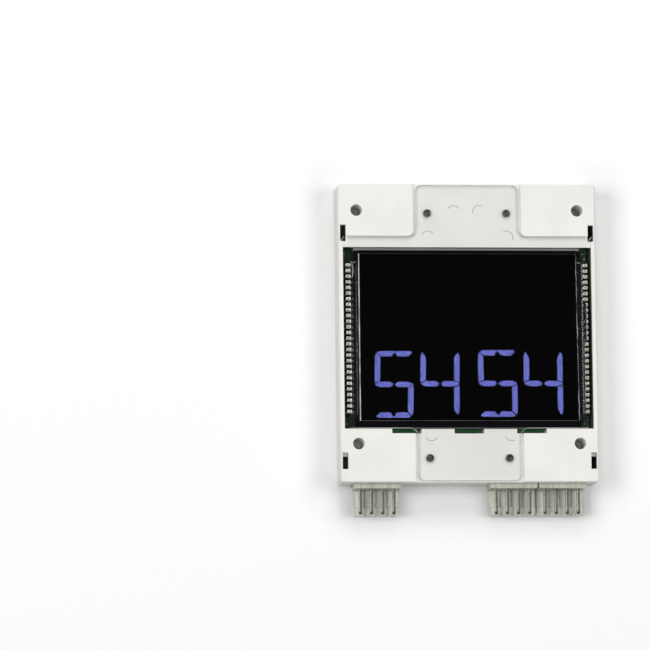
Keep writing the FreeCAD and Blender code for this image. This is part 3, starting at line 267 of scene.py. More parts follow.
clearLooks = {
    # polycarbonate cover: clear, with a thin gloss
    "clearPolycarbonate": {"tint": "#FFFFFF", "ior": 1.58, "roughness": (0.04, 0.1), "grainMm": 1.2,
                           "glossShare": 0.25},
    # iodine polarizing film: nearly black, and only the lit segments shine through it
    "polarizingFilm": {"tint": "#7A7A7E", "ior": 1.49, "roughness": (0.04, 0.08), "grainMm": 3.0,
                       "glossShare": 0.7},
    # soda-lime display glass: clear, with a green cast
    "displayGlass": {"tint": "#F0F6F3", "ior": 1.52, "roughness": (0.03, 0.07), "grainMm": 2.0,
                     "glossShare": 0.7},
    # cured clear resin along the pins: faintly yellow-green, wet
    "curedResin": {"tint": "#C4C8BC", "ior": 1.5, "roughness": (0.08, 0.2), "grainMm": 0.4,
                   "glossShare": 1.0},
    # cast acrylic light guide: water clear
    "castAcrylic": {"tint": "#F2F6F6", "ior": 1.49, "roughness": (0.04, 0.1), "grainMm": 1.0,
                    "glossShare": 0.9},
}
finishes = {name: grained(name, look) for name, look in looks.items()}
finishes.update({name: clearSheet(name, look) for name, look in clearLooks.items()})

# liquid crystal lit from behind: blue-violet, very slightly uneven
segmentLight = {"colours": ("#7B7BDA", "#8A8AE0"), "patchMm": 9, "strength": 7.2}
litMaterial, tree = newTree("litLiquidCrystal")
place = addNode(tree, "ShaderNodeTexCoord").outputs["Object"]
drift = addNode(tree, "ShaderNodeTexNoise", {"Scale": 1 / (segmentLight["patchMm"] * mm)}, {"Vector": place})
first, second = (linearColour(hexCode) for hexCode in segmentLight["colours"])
glow = addNode(tree, "ShaderNodeMix", {"data_type": "RGBA", 6: first, 7: second}, {0: drift.outputs["Fac"]})
lit = addNode(tree, "ShaderNodeBsdfPrincipled",
              {"Roughness": 0.5, "IOR": 1.5, "Emission Strength": segmentLight["strength"]},
              {"Base Color": glow.outputs[2], "Emission Color": glow.outputs[2]})
addNode(tree, "ShaderNodeOutputMaterial", links={"Surface": lit.outputs["BSDF"]})
finishes["litLiquidCrystal"] = litMaterial

nodeFinish = {
    "front_housing": "mouldedAbs", "clear_cover": "clearPolycarbonate", "cover_screws": "platedScrewSteel",
    "lcd_rear_glass": "displayGlass", "lcd_front_glass": "displayGlass", "front_polarizer": "polarizingFilm",
    "rear_polarizer": "polarizingFilm", "lcd_seal": "curedEpoxySeal", "lit_segments": "litLiquidCrystal",
    "lcd_pins_left": "tinnedBrass", "lcd_pins_right": "tinnedBrass", "ledge_sealant": "curedResin",
    "backlight_frame": "frameMoulding", "diffuser_sheet": "opalDiffuser", "light_guide": "castAcrylic",
    "reflector_sheet": "silveredFilm", "led_strip": "solderMask", "backlight_leds": "lampPackage",
    "pcb": "solderMask", "header_left": "naturalNylon", "header_middle": "naturalNylon",
    "header_right": "naturalNylon", "header_pins_left": "tinPlate", "header_pins_middle": "tinPlate",
    "header_pins_right": "tinPlate", "microcontroller": "chipMoulding", "display_drivers": "chipMoulding",
    "voltage_regulator": "chipMoulding", "bus_transceiver": "chipMoulding", "input_diode": "chipMoulding",
    "power_inductor": "sinteredFerrite", "electrolytic_capacitors": "drawnAluminium",
    "crystal": "nickelPlate", "chip_resistors": "glazedResistor", "chip_capacitors": "firedCeramic",
}
for nodeName, finishName in nodeFinish.items():
    mesh = nodes[nodeName].data
    mesh.materials.clear()
    mesh.materials.append(finishes[finishName])
print("finishes on", len(nodeFinish), "nodes")


def addPiece(name, verts, faces, finishName, bevel=0.0):
    mesh = bpy.data.meshes.new(name)
    mesh.from_pydata(verts, [], faces)
    mesh.materials.append(finishes[finishName])
    piece = bpy.data.objects.new(name, mesh)
    bpy.context.scene.collection.objects.link(piece)
    if bevel:
        soft = piece.modifiers.new("softEdges", "BEVEL")
        soft.width = bevel * mm
        soft.segments = 2
        soft.limit_method = "ANGLE"
    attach(piece, "root")
    return piece


def prism(verts, faces, outline, low, high):
    # closed outline in millimetres, raised from one level to another
    start = len(verts)
    count = len(outline)
    for level in (low, high):
        verts.extend((x * mm, y * mm, level * mm) for x, y in outline)
    faces.append([start + i for i in reversed(range(count))])
    faces.append([start + count + i for i in range(count)])
    for i in range(count):
        j = (i + 1) % count
        faces.append((start + i, start + j, start + count + j, start + count + i))


def slab(verts, faces, xs, ys, low, high):
    # upright box between two values of x and two of y
    prism(verts, faces, [(xs[0], ys[0]), (xs[1], ys[0]), (xs[1], ys[1]), (xs[0], ys[1])], low, high)


def ribbon(verts, faces, path, width, low, high):
    # flat track of even width along a path, mitred where it turns
    left, right = [], []
    for i, (x, y) in enumerate(path):
        before = Vector(path[max(i - 1, 0)])
        after = Vector(path[min(i + 1, len(path) - 1)])
        here = Vector((x, y))
        ins = (here - before).normalized() if i else (after - here).normalized()
        outs = (after - here).normalized() if i < len(path) - 1 else ins
        along = (ins + outs).normalized()
        side = Vector((-along.y, along.x)) * width / 2 / max(along.dot(ins), 0.3)
        left.append(tuple(here + side))
        right.append(tuple(here - side))
    for i in range(len(path) - 1):
        prism(verts, faces, [left[i], right[i], right[i + 1], left[i + 1]], low, high)


def spun(verts, faces, centre, profile, sides):
    # profile of radius and level, turned round an upright axis
    start = len(verts)
    for radius, level in profile:
        for i in range(sides):
            turn = 2 * math.pi * i / sides
            x, y = centre[0] + radius * math.cos(turn), centre[1] + radius * math.sin(turn)
            verts.append((x * mm, y * mm, level * mm))
    for ring in range(len(profile) - 1):
        for i in range(sides):
            j = (i + 1) % sides
            a = start + ring * sides
            faces.append((a + i, a + j, a + sides + j, a + sides + i))
    faces.append([start + i for i in reversed(range(sides))])
    faces.append([start + (len(profile) - 1) * sides + i for i in range(sides)])


def arcPoints(centre, radius, first, last, steps):
    turns = [math.radians(first + (last - first) * i / steps) for i in range(steps + 1)]
    return [(centre[0] + radius * math.cos(t), centre[1] + radius * math.sin(t)) for t in turns]


def boxOf(node):
    low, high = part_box(node)
    return [value / mm for value in low], [value / mm for value in high]


# Sizes in millimetres, read from the nodes they belong to.
filmLow, filmHigh = boxOf("front_polarizer")
glassLow, glassHigh = boxOf("lcd_front_glass")
ledgeLow, ledgeHigh = boxOf("lcd_rear_glass")
boardLow, boardHigh = boxOf("pcb")
coverLow, coverHigh = boxOf("clear_cover")
pinLow, pinHigh = boxOf("lcd_pins_right")
pinPitch, clipHalf = 2.0, 0.6
pinCount = round((pinHigh[1] - pinLow[1] - 2 * clipHalf) / pinPitch) + 1
pinRows = [pinLow[1] + clipHalf + i * pinPitch for i in range(pinCount)]

# Lit digits: each stroke is split where the electrodes part, and replaces the plain one in the node.
digits = {
    "shown": "5454", "centres": (-25.975, -9.85, 10.6, 26.8), "shiftY": (-0.3, -0.06, 0.07, 0.07),
    "lean": (0.026, 0.012, 0.0, 0.0),  # sideways, for each millimetre below the digit's top
    "width": 13.85, "height": 23.6, "stroke": 1.88, "round": 2.1,
    "joint": 0.46, "middleJoint": 0.322, "clear": 0.015,  # gaps between strokes, and off the glass
    "notch": {"gap": 0.05, "start": 0.3, "half": 1.25},  # in the middle of a level stroke
    "levelEnd": {"inset": 0.75, "tip": 0.55, "slant": 1.45},
    "middle": {"gap": 0.25, "slant": 1.2, "inset": 0.15, "blunt": 0.1},
    "uprightEnd": {"outer": 1.95, "tip": 0.7, "tipIn": 0.34, "inner": 2.6},
}
digitLow, digitHigh = boxOf("lit_segments")
halfWide, halfTall, stroke = digits["width"] / 2, digits["height"] / 2, digits["stroke"]
innerX, rounding = halfWide - stroke, digits["round"]
shift = digits["joint"] / 2 * math.sqrt(0.5)
cornerCentre = (halfWide - rounding, halfTall - rounding)
cornerCut = rounding * (1 - math.sqrt(0.5))
cornerMiddle = (halfWide - cornerCut, halfTall - cornerCut)


def levelHalf(joined):
    # half of the top stroke, from its notch in the middle to the right-hand end
    notch, end = digits["notch"], digits["levelEnd"]
    points = [(notch["gap"], halfTall), (notch["gap"], halfTall - notch["start"]),
              (notch["half"], halfTall - stroke)]
    if joined:
        return points + [(innerX - 2 * shift, halfTall - stroke),
                         (cornerMiddle[0] - shift, cornerMiddle[1] + shift),
                         *arcPoints(cornerCentre, rounding, 52, 90, 5)]
    endX = halfWide - end["inset"]
    return points + [(endX - end["slant"], halfTall - stroke), (endX, halfTall - end["tip"]),
                     (endX - end["tip"], halfTall)]


def middleHalf():
    # half of the middle stroke, with a slanted end at the gap and a blunt point between the uprights
    middle, half = digits["middle"], stroke / 2
    reach, blunt, slantX = halfWide - middle["inset"], middle["blunt"], middle["gap"] + middle["slant"]
    return [(middle["gap"], 0), (slantX, -half), (innerX, -half), (reach, -blunt), (reach, blunt),
            (innerX, half), (slantX, half)]


def uprightHalf(joined):
    # upper right stroke, from the middle to the top
    end = digits["uprightEnd"]
    points = [(innerX, stroke / 2 + digits["middleJoint"]),
              (halfWide, digits["middle"]["blunt"] + digits["joint"])]
    if joined:
        return points + [*arcPoints(cornerCentre, rounding, 0, 38, 5),
                         (cornerMiddle[0] + shift, cornerMiddle[1] - shift),
                         (innerX, halfTall - stroke - 2 * shift)]
    return points + [(halfWide, halfTall - end["outer"]),
                     (halfWide - end["tipIn"] * stroke, halfTall - end["tip"]),
                     (innerX, halfTall - end["inner"])]


# outline of each stroke, with its side and height signs
level, levelTurn, middleStroke = levelHalf(False), levelHalf(True), middleHalf()
upright, uprightTurn = uprightHalf(False), uprightHalf(True)
strokesOf = {
    "5": ((levelTurn, -1, 1), (level, 1, 1), (uprightTurn, -1, 1), (middleStroke, -1, 1),
          (middleStroke, 1, 1), (uprightTurn, 1, -1), (levelTurn, 1, -1), (level, -1, -1)),
    "4": ((upright, -1, 1), (upright, 1, 1), (middleStroke, -1, 1), (middleStroke, 1, 1), (upright, 1, -1)),
}
verts, faces = [], []
for figure, centre, shiftY, lean in zip(digits["shown"], digits["centres"], digits["shiftY"], digits["lean"]):
    digitY = (digitLow[1] + digitHigh[1]) / 2 + shiftY
    for outline, side, rise in strokesOf[figure]:
        points = [(centre + side * x + lean * (rise * y - halfTall), digitY + rise * y) for x, y in outline]
        if side * rise < 0:
            points.reverse()
        prism(verts, faces, points, digitLow[2] + digits["clear"], digitHigh[2] - digits["clear"])
litDigits = addPiece("lit_digits", verts, faces, "litLiquidCrystal")
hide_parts("lit_segments")

# painted highlight on the cut edge of the film and glass, a thin pale line round the black field
edgeLine = {"left": 0.34, "right": 0.22, "bottom": 0.1, "top": 0.03, "rise": 0.06, "sink": 0.1,
            "footWidth": 0.1, "footRise": 0.04}
low, high = filmHigh[2] - edgeLine["sink"], filmHigh[2] + edgeLine["rise"]
x0, x1, y0, y1 = filmLow[0], filmHigh[0], filmLow[1], filmHigh[1]
innerLeft, innerRight = x0 + edgeLine["left"], x1 - edgeLine["right"]
innerFoot, innerTop = y0 + edgeLine["bottom"], y1 - edgeLine["top"]
verts, faces = [], []
prism(verts, faces, [(x0, y0), (innerLeft, innerFoot), (innerLeft, innerTop), (x0, y1)], low, high)
addPiece("glass_edge_line", verts, faces, "paintedEdgeGlint")

# thread of resin along the right-hand edge of the film, a little wavy, further out towards its foot; its pale
# stretches are painted highlight
thread = {"width": 0.18, "offset": 0.05, "drift": 0.55, "wave": 0.12, "pieces": 40, "sink": 0.05}
random.seed(8)
verts, faces = [], []
wave = []
for i in range(thread["pieces"] + 1):
    y = y1 - (y1 - y0) * i / thread["pieces"]
    out = thread["offset"] + thread["drift"] * (y1 - y) / (y1 - y0)
    wave.append((x1 + out + random.uniform(-thread["wave"], thread["wave"]), y))
ribbon(verts, faces, wave, thread["width"], filmHigh[2] - thread["sink"], high)
addPiece("glass_edge_bead", verts, faces, "paintedMeniscusGlint")

# painted shade: the top and bottom of the edge line and the glass's foot, the same edge in dull grey
verts, faces = [], []
prism(verts, faces, [(x0, y0), (x1, y0), (innerRight, innerFoot), (innerLeft, innerFoot)], low, high)
prism(verts, faces, [(x0, y1), (innerLeft, innerTop), (innerRight, innerTop), (x1, y1)], low, high)
footTop = glassLow[1] + edgeLine["footWidth"]
slab(verts, faces, (glassLow[0], glassHigh[0]), (glassLow[1], footTop), glassHigh[2],
     glassHigh[2] + edgeLine["footRise"])
addPiece("glass_edge_ends", verts, faces, "shadedGlassEdge")

# printed border on the glass, above and below the film and beside it
borderThick = 0.03
verts, faces = [], []
for xs, ys in (((glassLow[0], glassHigh[0]), (footTop, y0)),
               ((glassLow[0], glassHigh[0]), (y1, glassHigh[1])),
               ((glassLow[0], x0), (y0, y1)), ((x1, glassHigh[0]), (y0, y1))):
    slab(verts, faces, xs, ys, glassHigh[2], glassHigh[2] + borderThick)
for xs in ((ledgeLow[0], glassLow[0]), (glassHigh[0], ledgeHigh[0])):
    slab(verts, faces, xs, (glassLow[1], glassHigh[1]), ledgeHigh[2], ledgeHigh[2] + borderThick)
addPiece("glass_border", verts, faces, "borderInk")
print("digits, glass edges and border added")


def archHeight(part, arch):
    # rounded section: where on a half circle it starts, how much of it it spans, and how flat its top is
    start, span, flatness = arch
    return math.sin(math.pi * (start + span * part)) ** flatness


def resinSkin(name, rows, flip):
    # shiny skin over rows of points in millimetres, each row running away from the glass
    across = len(rows[0])
    faces = []
    for index in range(len(rows) - 1):
        for step in range(across - 1):
            a = index * across + step
            quad = (a, a + 1, a + across + 1, a + across)
            faces.append(quad[::-1] if flip else quad)
    verts = [[value * mm for value in point] for row in rows for point in row]
    skin = addPiece(name, verts, faces, "darkResin")
    for face in skin.data.polygons:
        face.use_smooth = True


# resin over the clips' inner ends: a low crowned bead along each ledge, thick over each clip
bead = {"inner": 38.95, "outer": 41.35, "height": 0.5, "ends": 1.6, "steps": 12, "swell": 0.05, "foot": 0.06,
        "station": 0.25, "bulge": 0.1, "uneven": 0.05, "ragged": 0.06, "taper": 0.8, "endRise": 0.1,
        "least": 0.02, "arch": (0.06, 0.9, 0.2)}
beadStations = []
y = pinRows[0] - bead["ends"]
while y < pinRows[-1] + bead["ends"]:
    beadStations.append(y)
    y += bead["station"]
random.seed(11)
for sideName, sign in (("left", -1), ("right", 1)):
    rows = []
    for y in beadStations:
        toEnd = min(y - beadStations[0], beadStations[-1] - y) + bead["endRise"]
        ending = min(1.0, toEnd / bead["taper"]) ** 0.5
        overClip = math.cos(2 * math.pi * (y - pinRows[0]) / pinPitch)
        wave = 1 + bead["swell"] * overClip + random.uniform(-bead["uneven"], bead["uneven"])
        outer = bead["outer"] + bead["bulge"] * overClip + random.uniform(-bead["ragged"], bead["ragged"])
        row = []
        for step in range(bead["steps"] + 1):
            part = step / bead["steps"]
            crown = bead["height"] * wave * archHeight(part, bead["arch"])
            rise = (crown + bead["foot"] * part ** 2) * ending
            row.append((sign * (bead["inner"] + (outer - bead["inner"]) * part), y,
                        ledgeHigh[2] + max(rise, bead["least"])))
        rows.append(row)
    resinSkin("clip_resin_" + sideName, rows, sign < 0)

# heads of the clip pins: a saddle between two bright humps, narrow in the middle
head = {"inner": 41.35, "outer": 43.15, "humpHalf": 0.6, "neckHalf": 0.26, "rise": 0.26, "thick": 0.3,
        "lift": 0.03, "round": 0.06, "flat": 0.6}
headStations = [(0.0, 0.5, 0.3), (0.06, 0.9, 0.8), (0.16, 1.0, 1.0), (0.34, 1.0, 0.95), (0.41, 0.7, 0.4),
                (0.45, 0.0, -0.6), (0.55, 0.0, -0.6), (0.59, 0.7, 0.4), (0.66, 1.0, 0.95), (0.84, 1.0, 1.0),
                (0.94, 0.9, 0.8), (1.0, 0.5, 0.3)]  # shares of its length, width and rise
for sideName, sign in (("left", -1), ("right", 1)):
    verts, faces = [], []
    for row in pinRows:
        start = len(verts)
        for along, wide, tall in headStations:
            x = sign * (head["inner"] + (head["outer"] - head["inner"]) * along)
            half = head["neckHalf"] + (head["humpHalf"] - head["neckHalf"]) * wide
            top = pinHigh[2] + head["lift"] + head["rise"] * tall
            foot, shoulder, flat = pinHigh[2] - head["thick"], top - head["round"], half * head["flat"]
            section = ((-half, foot), (-half, shoulder), (-flat, top),
                       (flat, top), (half, shoulder), (half, foot))
            verts.extend((x * mm, (row + y) * mm, z * mm) for y, z in section)
        count = len(section)
        lastRing = start + (len(headStations) - 1) * count
        for ring in range(start, lastRing, count):
            for i in range(count):
                a, b = ring + i, ring + (i + 1) % count
                quad = (a, b, b + count, a + count)
                faces.append(quad if sign < 0 else quad[::-1])
        firstCap = [start + i for i in range(count)]
        lastCap = [lastRing + i for i in range(count)]
        faces.append(firstCap[::-1] if sign < 0 else firstCap)
        faces.append(lastCap if sign < 0 else lastCap[::-1])
    addPiece("clip_heads_" + sideName, verts, faces, "tinnedBrass")

# resin that ran over the right-hand heads: the upper seven stay bare, the next seven are nearly covered
overRun = {"inner": 41.0, "bare": 7, "covered": 7, "wide": 43.0, "narrow": 42.05, "height": 0.42, "steps": 8,
           "station": 0.4, "ragged": 0.1, "sink": 0.1, "startIn": 0.7, "ends": 0.9, "uneven": (0.94, 1.0),
           "arch": (0.03, 0.94, 0.3)}
random.seed(13)
rows = []
y = pinRows[-1 - overRun["bare"]] + clipHalf
coveredEnd = pinRows[-overRun["bare"] - overRun["covered"]] - clipHalf
while y > pinRows[0] - overRun["ends"]:
    outer = overRun["wide"] if y > coveredEnd else overRun["narrow"]
    outer += random.uniform(-overRun["ragged"], overRun["ragged"]) - (0 if rows else overRun["startIn"])
    height = overRun["height"] * random.uniform(*overRun["uneven"])
    row = []
    for step in range(overRun["steps"] + 1):
        part = step / overRun["steps"]
        row.append((overRun["inner"] + (outer - overRun["inner"]) * part, y,
                    pinHigh[2] - overRun["sink"] + height * archHeight(part, overRun["arch"])))
    rows.append(row)
    y -= overRun["station"]
resinSkin("resin_over_heads", rows, True)

# painted highlight on the bead's rounded end, where it rises over the first clips on the left and catches the
# light
endGlint = {"path": ((-41.2, 0.55), (-40.8, 0.15), (-40.55, -0.7), (-40.45, -1.6), (-40.48, -2.4),
                     (-40.6, -3.3), (-40.75, -4.3)), "width": 0.26, "half": 0.25}
beadTop = ledgeHigh[2] + bead["height"]
verts, faces = [], []
ribbon(verts, faces, [(x, pinRows[-1] + y) for x, y in endGlint["path"]], endGlint["width"],
       beadTop - endGlint["half"], beadTop + endGlint["half"])
addPiece("resin_end_glint", verts, faces, "paintedMeniscusGlint")

# glints of the clips' tips where the resin is thin
glint = {"x": 40.8, "width": 0.3, "length": 0.6, "widths": (0.35, 1.0), "lengths": (0.3, 1.0),
         "scatter": 0.15, "sink": 0.3, "rise": 0.1}
random.seed(5)
for sideName, sign in (("left", -1), ("right", 1)):
    verts, faces = [], []
    for row in pinRows:
        wide = glint["width"] * random.uniform(*glint["widths"]) / 2
        long = glint["length"] * random.uniform(*glint["lengths"]) / 2
        x = sign * (glint["x"] + random.uniform(-glint["scatter"], glint["scatter"]))
        prism(verts, faces, [(x - wide, row - long * 0.6), (x + wide * 0.4, row - long),
                             (x + wide, row + long * 0.5), (x - wide * 0.3, row + long)],
              beadTop - glint["sink"], beadTop + glint["rise"])
    addPiece("clip_glints_" + sideName, verts, faces, "tinnedBrass")
print("clips and resin added")

# clear cover with polished edges; it replaces the node, a hair clear of the recess below it
coverSheet = {"lift": 0.03, "edge": 0.08}
shell = bmesh.new()
shell.from_mesh(nodes["clear_cover"].data)
bmesh.ops.remove_doubles(shell, verts=shell.verts, dist=0.001 * mm)  # welds the triangles of the node
bmesh.ops.dissolve_limit(shell, angle_limit=math.radians(1), verts=shell.verts, edges=shell.edges)
for vert in shell.verts:
    if abs(vert.co.z / mm - coverLow[2]) < 0.01:
        vert.co.z += coverSheet["lift"] * mm
coverMesh = bpy.data.meshes.new("clear_cover_sheet")
shell.to_mesh(coverMesh)
shell.free()
coverMesh.materials.append(finishes["clearPolycarbonate"])
cover = bpy.data.objects.new("clear_cover_sheet", coverMesh)
bpy.context.scene.collection.objects.link(cover)
polish = cover.modifiers.new("polishedEdges", "BEVEL")
polish.width = coverSheet["edge"] * mm
polish.segments = 2
polish.limit_method = "ANGLE"
polish.angle_limit = math.radians(50)
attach(cover, "root")
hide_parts("clear_cover")

# the cover's cut edge seen through it: painted light, a soft grey line along its outline
coverLine = {"width": 0.13, "tabHalf": 18.2, "rootRound": 3.0, "endRound": 2.0, "side": 0.05,
             "shoulder": 31.95, "foot": -36.0, "above": 0.15, "below": 0.1}
inset = coverLine["side"] + coverLine["width"] / 2
halfSheet, tab = coverHigh[0] - inset, coverLine["tabHalf"] - inset
root, end = coverLine["rootRound"] + inset, coverLine["endRound"] - inset
shoulderY, footY = coverLine["shoulder"] - inset, coverLine["foot"] + inset
upperEdge = [(halfSheet, shoulderY), *arcPoints((tab + root, shoulderY + root), root, 270, 180, 8),
             *arcPoints((tab - end, coverHigh[1] - inset - end), end, 0, 90, 6)]
lowerEdge = [(halfSheet, footY), *arcPoints((tab + root, footY - root), root, 90, 180, 8),
             *arcPoints((tab - end, coverLow[1] + inset + end), end, 360, 270, 6)]
verts, faces = [], []
for edge in (upperEdge, lowerEdge):
    ribbon(verts, faces, edge + [(-x, y) for x, y in reversed(edge)], coverLine["width"],
           coverLow[2] + coverLine["above"], coverHigh[2] - coverLine["below"])
addPiece("cover_edge_line", verts, faces, "paintedEdgeLight")

# witness marks of the ejector pins: fine arcs of painted shade along each mark's small step, in the recess
# under the clear cover
marks = {"radius": 2.3, "width": 0.2, "rise": 0.02,
         "arcs": ((-4.5, 40.9, 30, 150), (4.6, 41.1, 60, 195), (-13.9, 31.9, 35, 150), (14.2, 31.9, -25, 120),
                  (-13.4, -38.0, 205, 330), (15.0, -38.0, 200, 300))}
verts, faces = [], []
for x, y, first, last in marks["arcs"]:
    ribbon(verts, faces, arcPoints((x, y), marks["radius"], first, last, 10), marks["width"],
           coverLow[2] - marks["rise"], coverLow[2] + marks["rise"])
addPiece("ejector_marks", verts, faces, "paintedMarkShade")

# tips of the latches, seen through the side slots: a block in the lower ones, a hook in the upper ones
latch = {"x": 44.1, "halfWide": 0.9, "upperY": 33.3, "lowerY": -47.5, "halfSlot": 2.9, "level": 11.2,
         "blockTall": 1.25, "blockThick": 1.0, "hookLow": 1.6, "hookHigh": 0.5, "edge": 0.06,
         "hook": ((-0.85, 0.1), (-0.6, 0.1), (0.75, 1.9), (0.5, 1.9))}
verts, faces = [], []
for x in (-latch["x"], latch["x"]):
    top, foot = latch["lowerY"] + latch["halfSlot"], latch["upperY"] - latch["halfSlot"]
    slab(verts, faces, (x - latch["halfWide"], x + latch["halfWide"]), (top - latch["blockTall"], top),
         latch["level"] - latch["blockThick"], latch["level"])
    prism(verts, faces, [(x + dx, foot + dy) for dx, dy in latch["hook"]],
          latch["level"] - latch["hookLow"], latch["level"] - latch["hookHigh"])
addPiece("latch_tips", verts, faces, "latchAbs", latch["edge"])
print("cover, marks and latches added")

# painted shade on the board: a dark round pool under each clip pin and a thin film along them
legX = 42.8
shadeUnderClips = {"radius": 1.045, "rise": 0.03, "filmX": 42.0, "filmHalf": 1.0, "filmEnd": 1.1, "filmRise": 0.02}
rear, front = boardLow[2], boardHigh[2]
verts, faces = [], []
for sign in (-1, 1):
    for row in pinRows:
        prism(verts, faces, arcPoints((sign * legX, row), shadeUnderClips["radius"], 0, 330, 11),
              front, front + shadeUnderClips["rise"])
    film = sign * shadeUnderClips["filmX"]
    slab(verts, faces, (film - shadeUnderClips["filmHalf"], film + shadeUnderClips["filmHalf"]),
         (pinRows[0] - shadeUnderClips["filmEnd"], pinRows[-1] + shadeUnderClips["filmEnd"]), front, front + shadeUnderClips["filmRise"])
addPiece("painted_shade_under_clips", verts, faces, "paintedClipShade")

# solder joints on the rear of the board, a cone round each pin: radius, and level from the board
clipCone = ((0.16, -0.85), (0.24, -0.6), (0.36, -0.3), (0.62, -0.08), (0.78, -0.02), (0.78, 0))
headerCone = ((0.62, -0.95), (0.74, -0.6), (0.95, -0.25), (1.2, -0.06), (1.3, 0))
headerPitch = 3.96
headerLegY = boardLow[1] + 2.0
headerCentres = {}
for name in ("left", "middle", "right"):
    low, high = boxOf("header_" + name)
    headerCentres[name] = (low[0] + high[0]) / 2


def headerPinX(centre):
    return [centre + (i - 1.5) * headerPitch for i in range(4)]


def onBoard(profile, level):
    return [(radius, level + rise) for radius, rise in profile]


verts, faces = [], []
for sign in (-1, 1):
    for row in pinRows:
        spun(verts, faces, (sign * legX, row), onBoard(clipCone, rear), 12)
for centre in headerCentres.values():
    for x in headerPinX(centre):
        spun(verts, faces, (x, headerLegY), onBoard(headerCone, rear), 16)
joints = addPiece("solder_joints", verts, faces, "solder")
for face in joints.data.polygons:
    face.use_smooth = len(face.vertices) == 4

# copper tracks under the solder mask: on the rear a fan from each row of clips and four from each header,
# and on the front a few short ones by the corners of the glass
track = {"thin": 0.35, "medium": 0.6, "wide": 1.2, "short": 0.4, "thick": 0.035, "fanX": 39.5, "endX": 26.0,
         "finePitch": 0.65, "rise": 5.0, "riseStep": 1.6, "sideStep": 2.5, "length": 22, "lengthStep": 2,
         "stubs": ((43.4, 23.5, 28.3), (42.5, 24.6, 28.3), (43.4, -36.0, -31.6), (42.3, -36.0, -32.6))}
verts, faces = [], []
middle = (pinRows[0] + pinRows[-1]) / 2
for sign in (-1, 1):
    for i, row in enumerate(pinRows):
        target = middle + (i - (pinCount - 1) / 2) * track["finePitch"]
        turn = track["fanX"] - abs(row - target)
        path = [(sign * legX, row), (sign * track["fanX"], row), (sign * turn, target)]
        if turn > track["endX"]:
            path.append((sign * track["endX"], target))
        ribbon(verts, faces, path, track["thin"], rear - track["thick"], rear)
for centre in headerCentres.values():
    for i, x in enumerate(headerPinX(centre)):
        rise = headerLegY + track["rise"] + track["riseStep"] * i
        sideways = (-1 if centre > 0 else 1) * track["sideStep"] * (i + 1)
        far = headerLegY + track["length"] + track["lengthStep"] * i
        path = [(x, headerLegY), (x, rise), (x + sideways, rise + abs(sideways)), (x + sideways, far)]
        width = track["wide"] if i in (0, 3) else track["medium"]
        ribbon(verts, faces, path, width, rear - track["thick"], rear)
for sign in (-1, 1):
    for x, stubLow, stubHigh in track["stubs"]:
        ribbon(verts, faces, [(sign * x, stubLow), (sign * x, stubHigh)], track["short"], front,
               front + track["thick"])
addPiece("board_tracks", verts, faces, "maskedCopper")

# filled copper and short tracks, seen in the housing's three notches; the fill is painted lighter for the
# light through the notches
fill = {"centres": (-22.2, 0.0, 22.2), "half": 6, "low": -39.6, "high": -33.0, "trackWidth": 0.3,
        "tracks": (-24.6, -20.4, -2.2, 2.6, 19.4, 24.8),
        "trackPath": ((-2.2, -36.6), (0.6, -36.6), (1.6, -37.6))}
verts, faces = [], []
for x in fill["centres"]:
    slab(verts, faces, (x - fill["half"], x + fill["half"]), (fill["low"], fill["high"]), front,
         front + track["thick"])
addPiece("board_copper_fill", verts, faces, "paintedLightFill")
verts, faces = [], []
for x in fill["tracks"]:
    ribbon(verts, faces, [(x + dx, y) for dx, y in fill["trackPath"]], fill["trackWidth"],
           front + track["thick"], front + 2 * track["thick"])
addPiece("board_front_tracks", verts, faces, "maskedCopper")

# tinned vias and test pads: radius, and level from the board
viaCone = ((0.32, -0.045), (0.42, -0.04), (0.42, 0))
padCone = ((0.9, -0.045), (1.0, -0.03), (1.0, 0))
frontViaCone = ((0.3, 0), (0.3, 0.03), (0.22, 0.045))
viaReach, viaCount = (36, 44), 46
padPlaces = ((-30, 34), (-25, 34), (-20, 34), (25, -44.5), (29, -44.5), (33, -44.5), (-12, -47), (-8, -47))
frontViaPlaces = ((42.6, 27.2), (43.2, 25.4), (42.4, -33.4), (43.3, -34.6))
verts, faces = [], []
random.seed(3)
viaPlaces = [[random.uniform(-reach, reach) for reach in viaReach] for _ in range(viaCount)]
for place in viaPlaces:
    spun(verts, faces, place, onBoard(viaCone, rear), 10)
for place in padPlaces:
    spun(verts, faces, place, onBoard(padCone, rear), 18)
for sign in (-1, 1):
    for x, y in frontViaPlaces:
        spun(verts, faces, (sign * x, y), onBoard(frontViaCone, front), 10)
addPiece("board_vias", verts, faces, "solder")
print("flux, solder, tracks and vias added")

# painted highlight on the left edge of each header pin, short of its tip
pinEdge = {"width": 0.42, "offset": -0.36, "fromTip": 1.0, "length": 9.2, "sink": 0.05, "rise": 0.015}
verts, faces = [], []
for name, centre in headerCentres.items():
    pinsLow, pinsHigh = boxOf("header_pins_" + name)
    start = pinsLow[1] + pinEdge["fromTip"]
    half = pinEdge["width"] / 2
    for x in headerPinX(centre + pinEdge["offset"]):
        slab(verts, faces, (x - half, x + half), (start, start + pinEdge["length"]),
             pinsHigh[2] - pinEdge["sink"], pinsHigh[2] + pinEdge["rise"])
addPiece("pin_edge_glints", verts, faces, "paintedPinSheen")
print("header pins finished")

# camera at the photograph's place: far off, a little below and to the left of the display
cameraPlace = {"location": (-0.2764, -0.2527, 2.0964), "turn": (6.959, -6.101, -0.649), "lens": 332.3}
camera = bpy.data.objects.new("camera", bpy.data.cameras.new("camera"))
bpy.context.scene.collection.objects.link(camera)
camera.location = cameraPlace["location"]
camera.rotation_euler = [math.radians(angle) for angle in cameraPlace["turn"]]
camera.data.lens = cameraPlace["lens"]
camera.data.sensor_width = 36
camera.data.clip_end = 20
bpy.context.scene.camera = camera
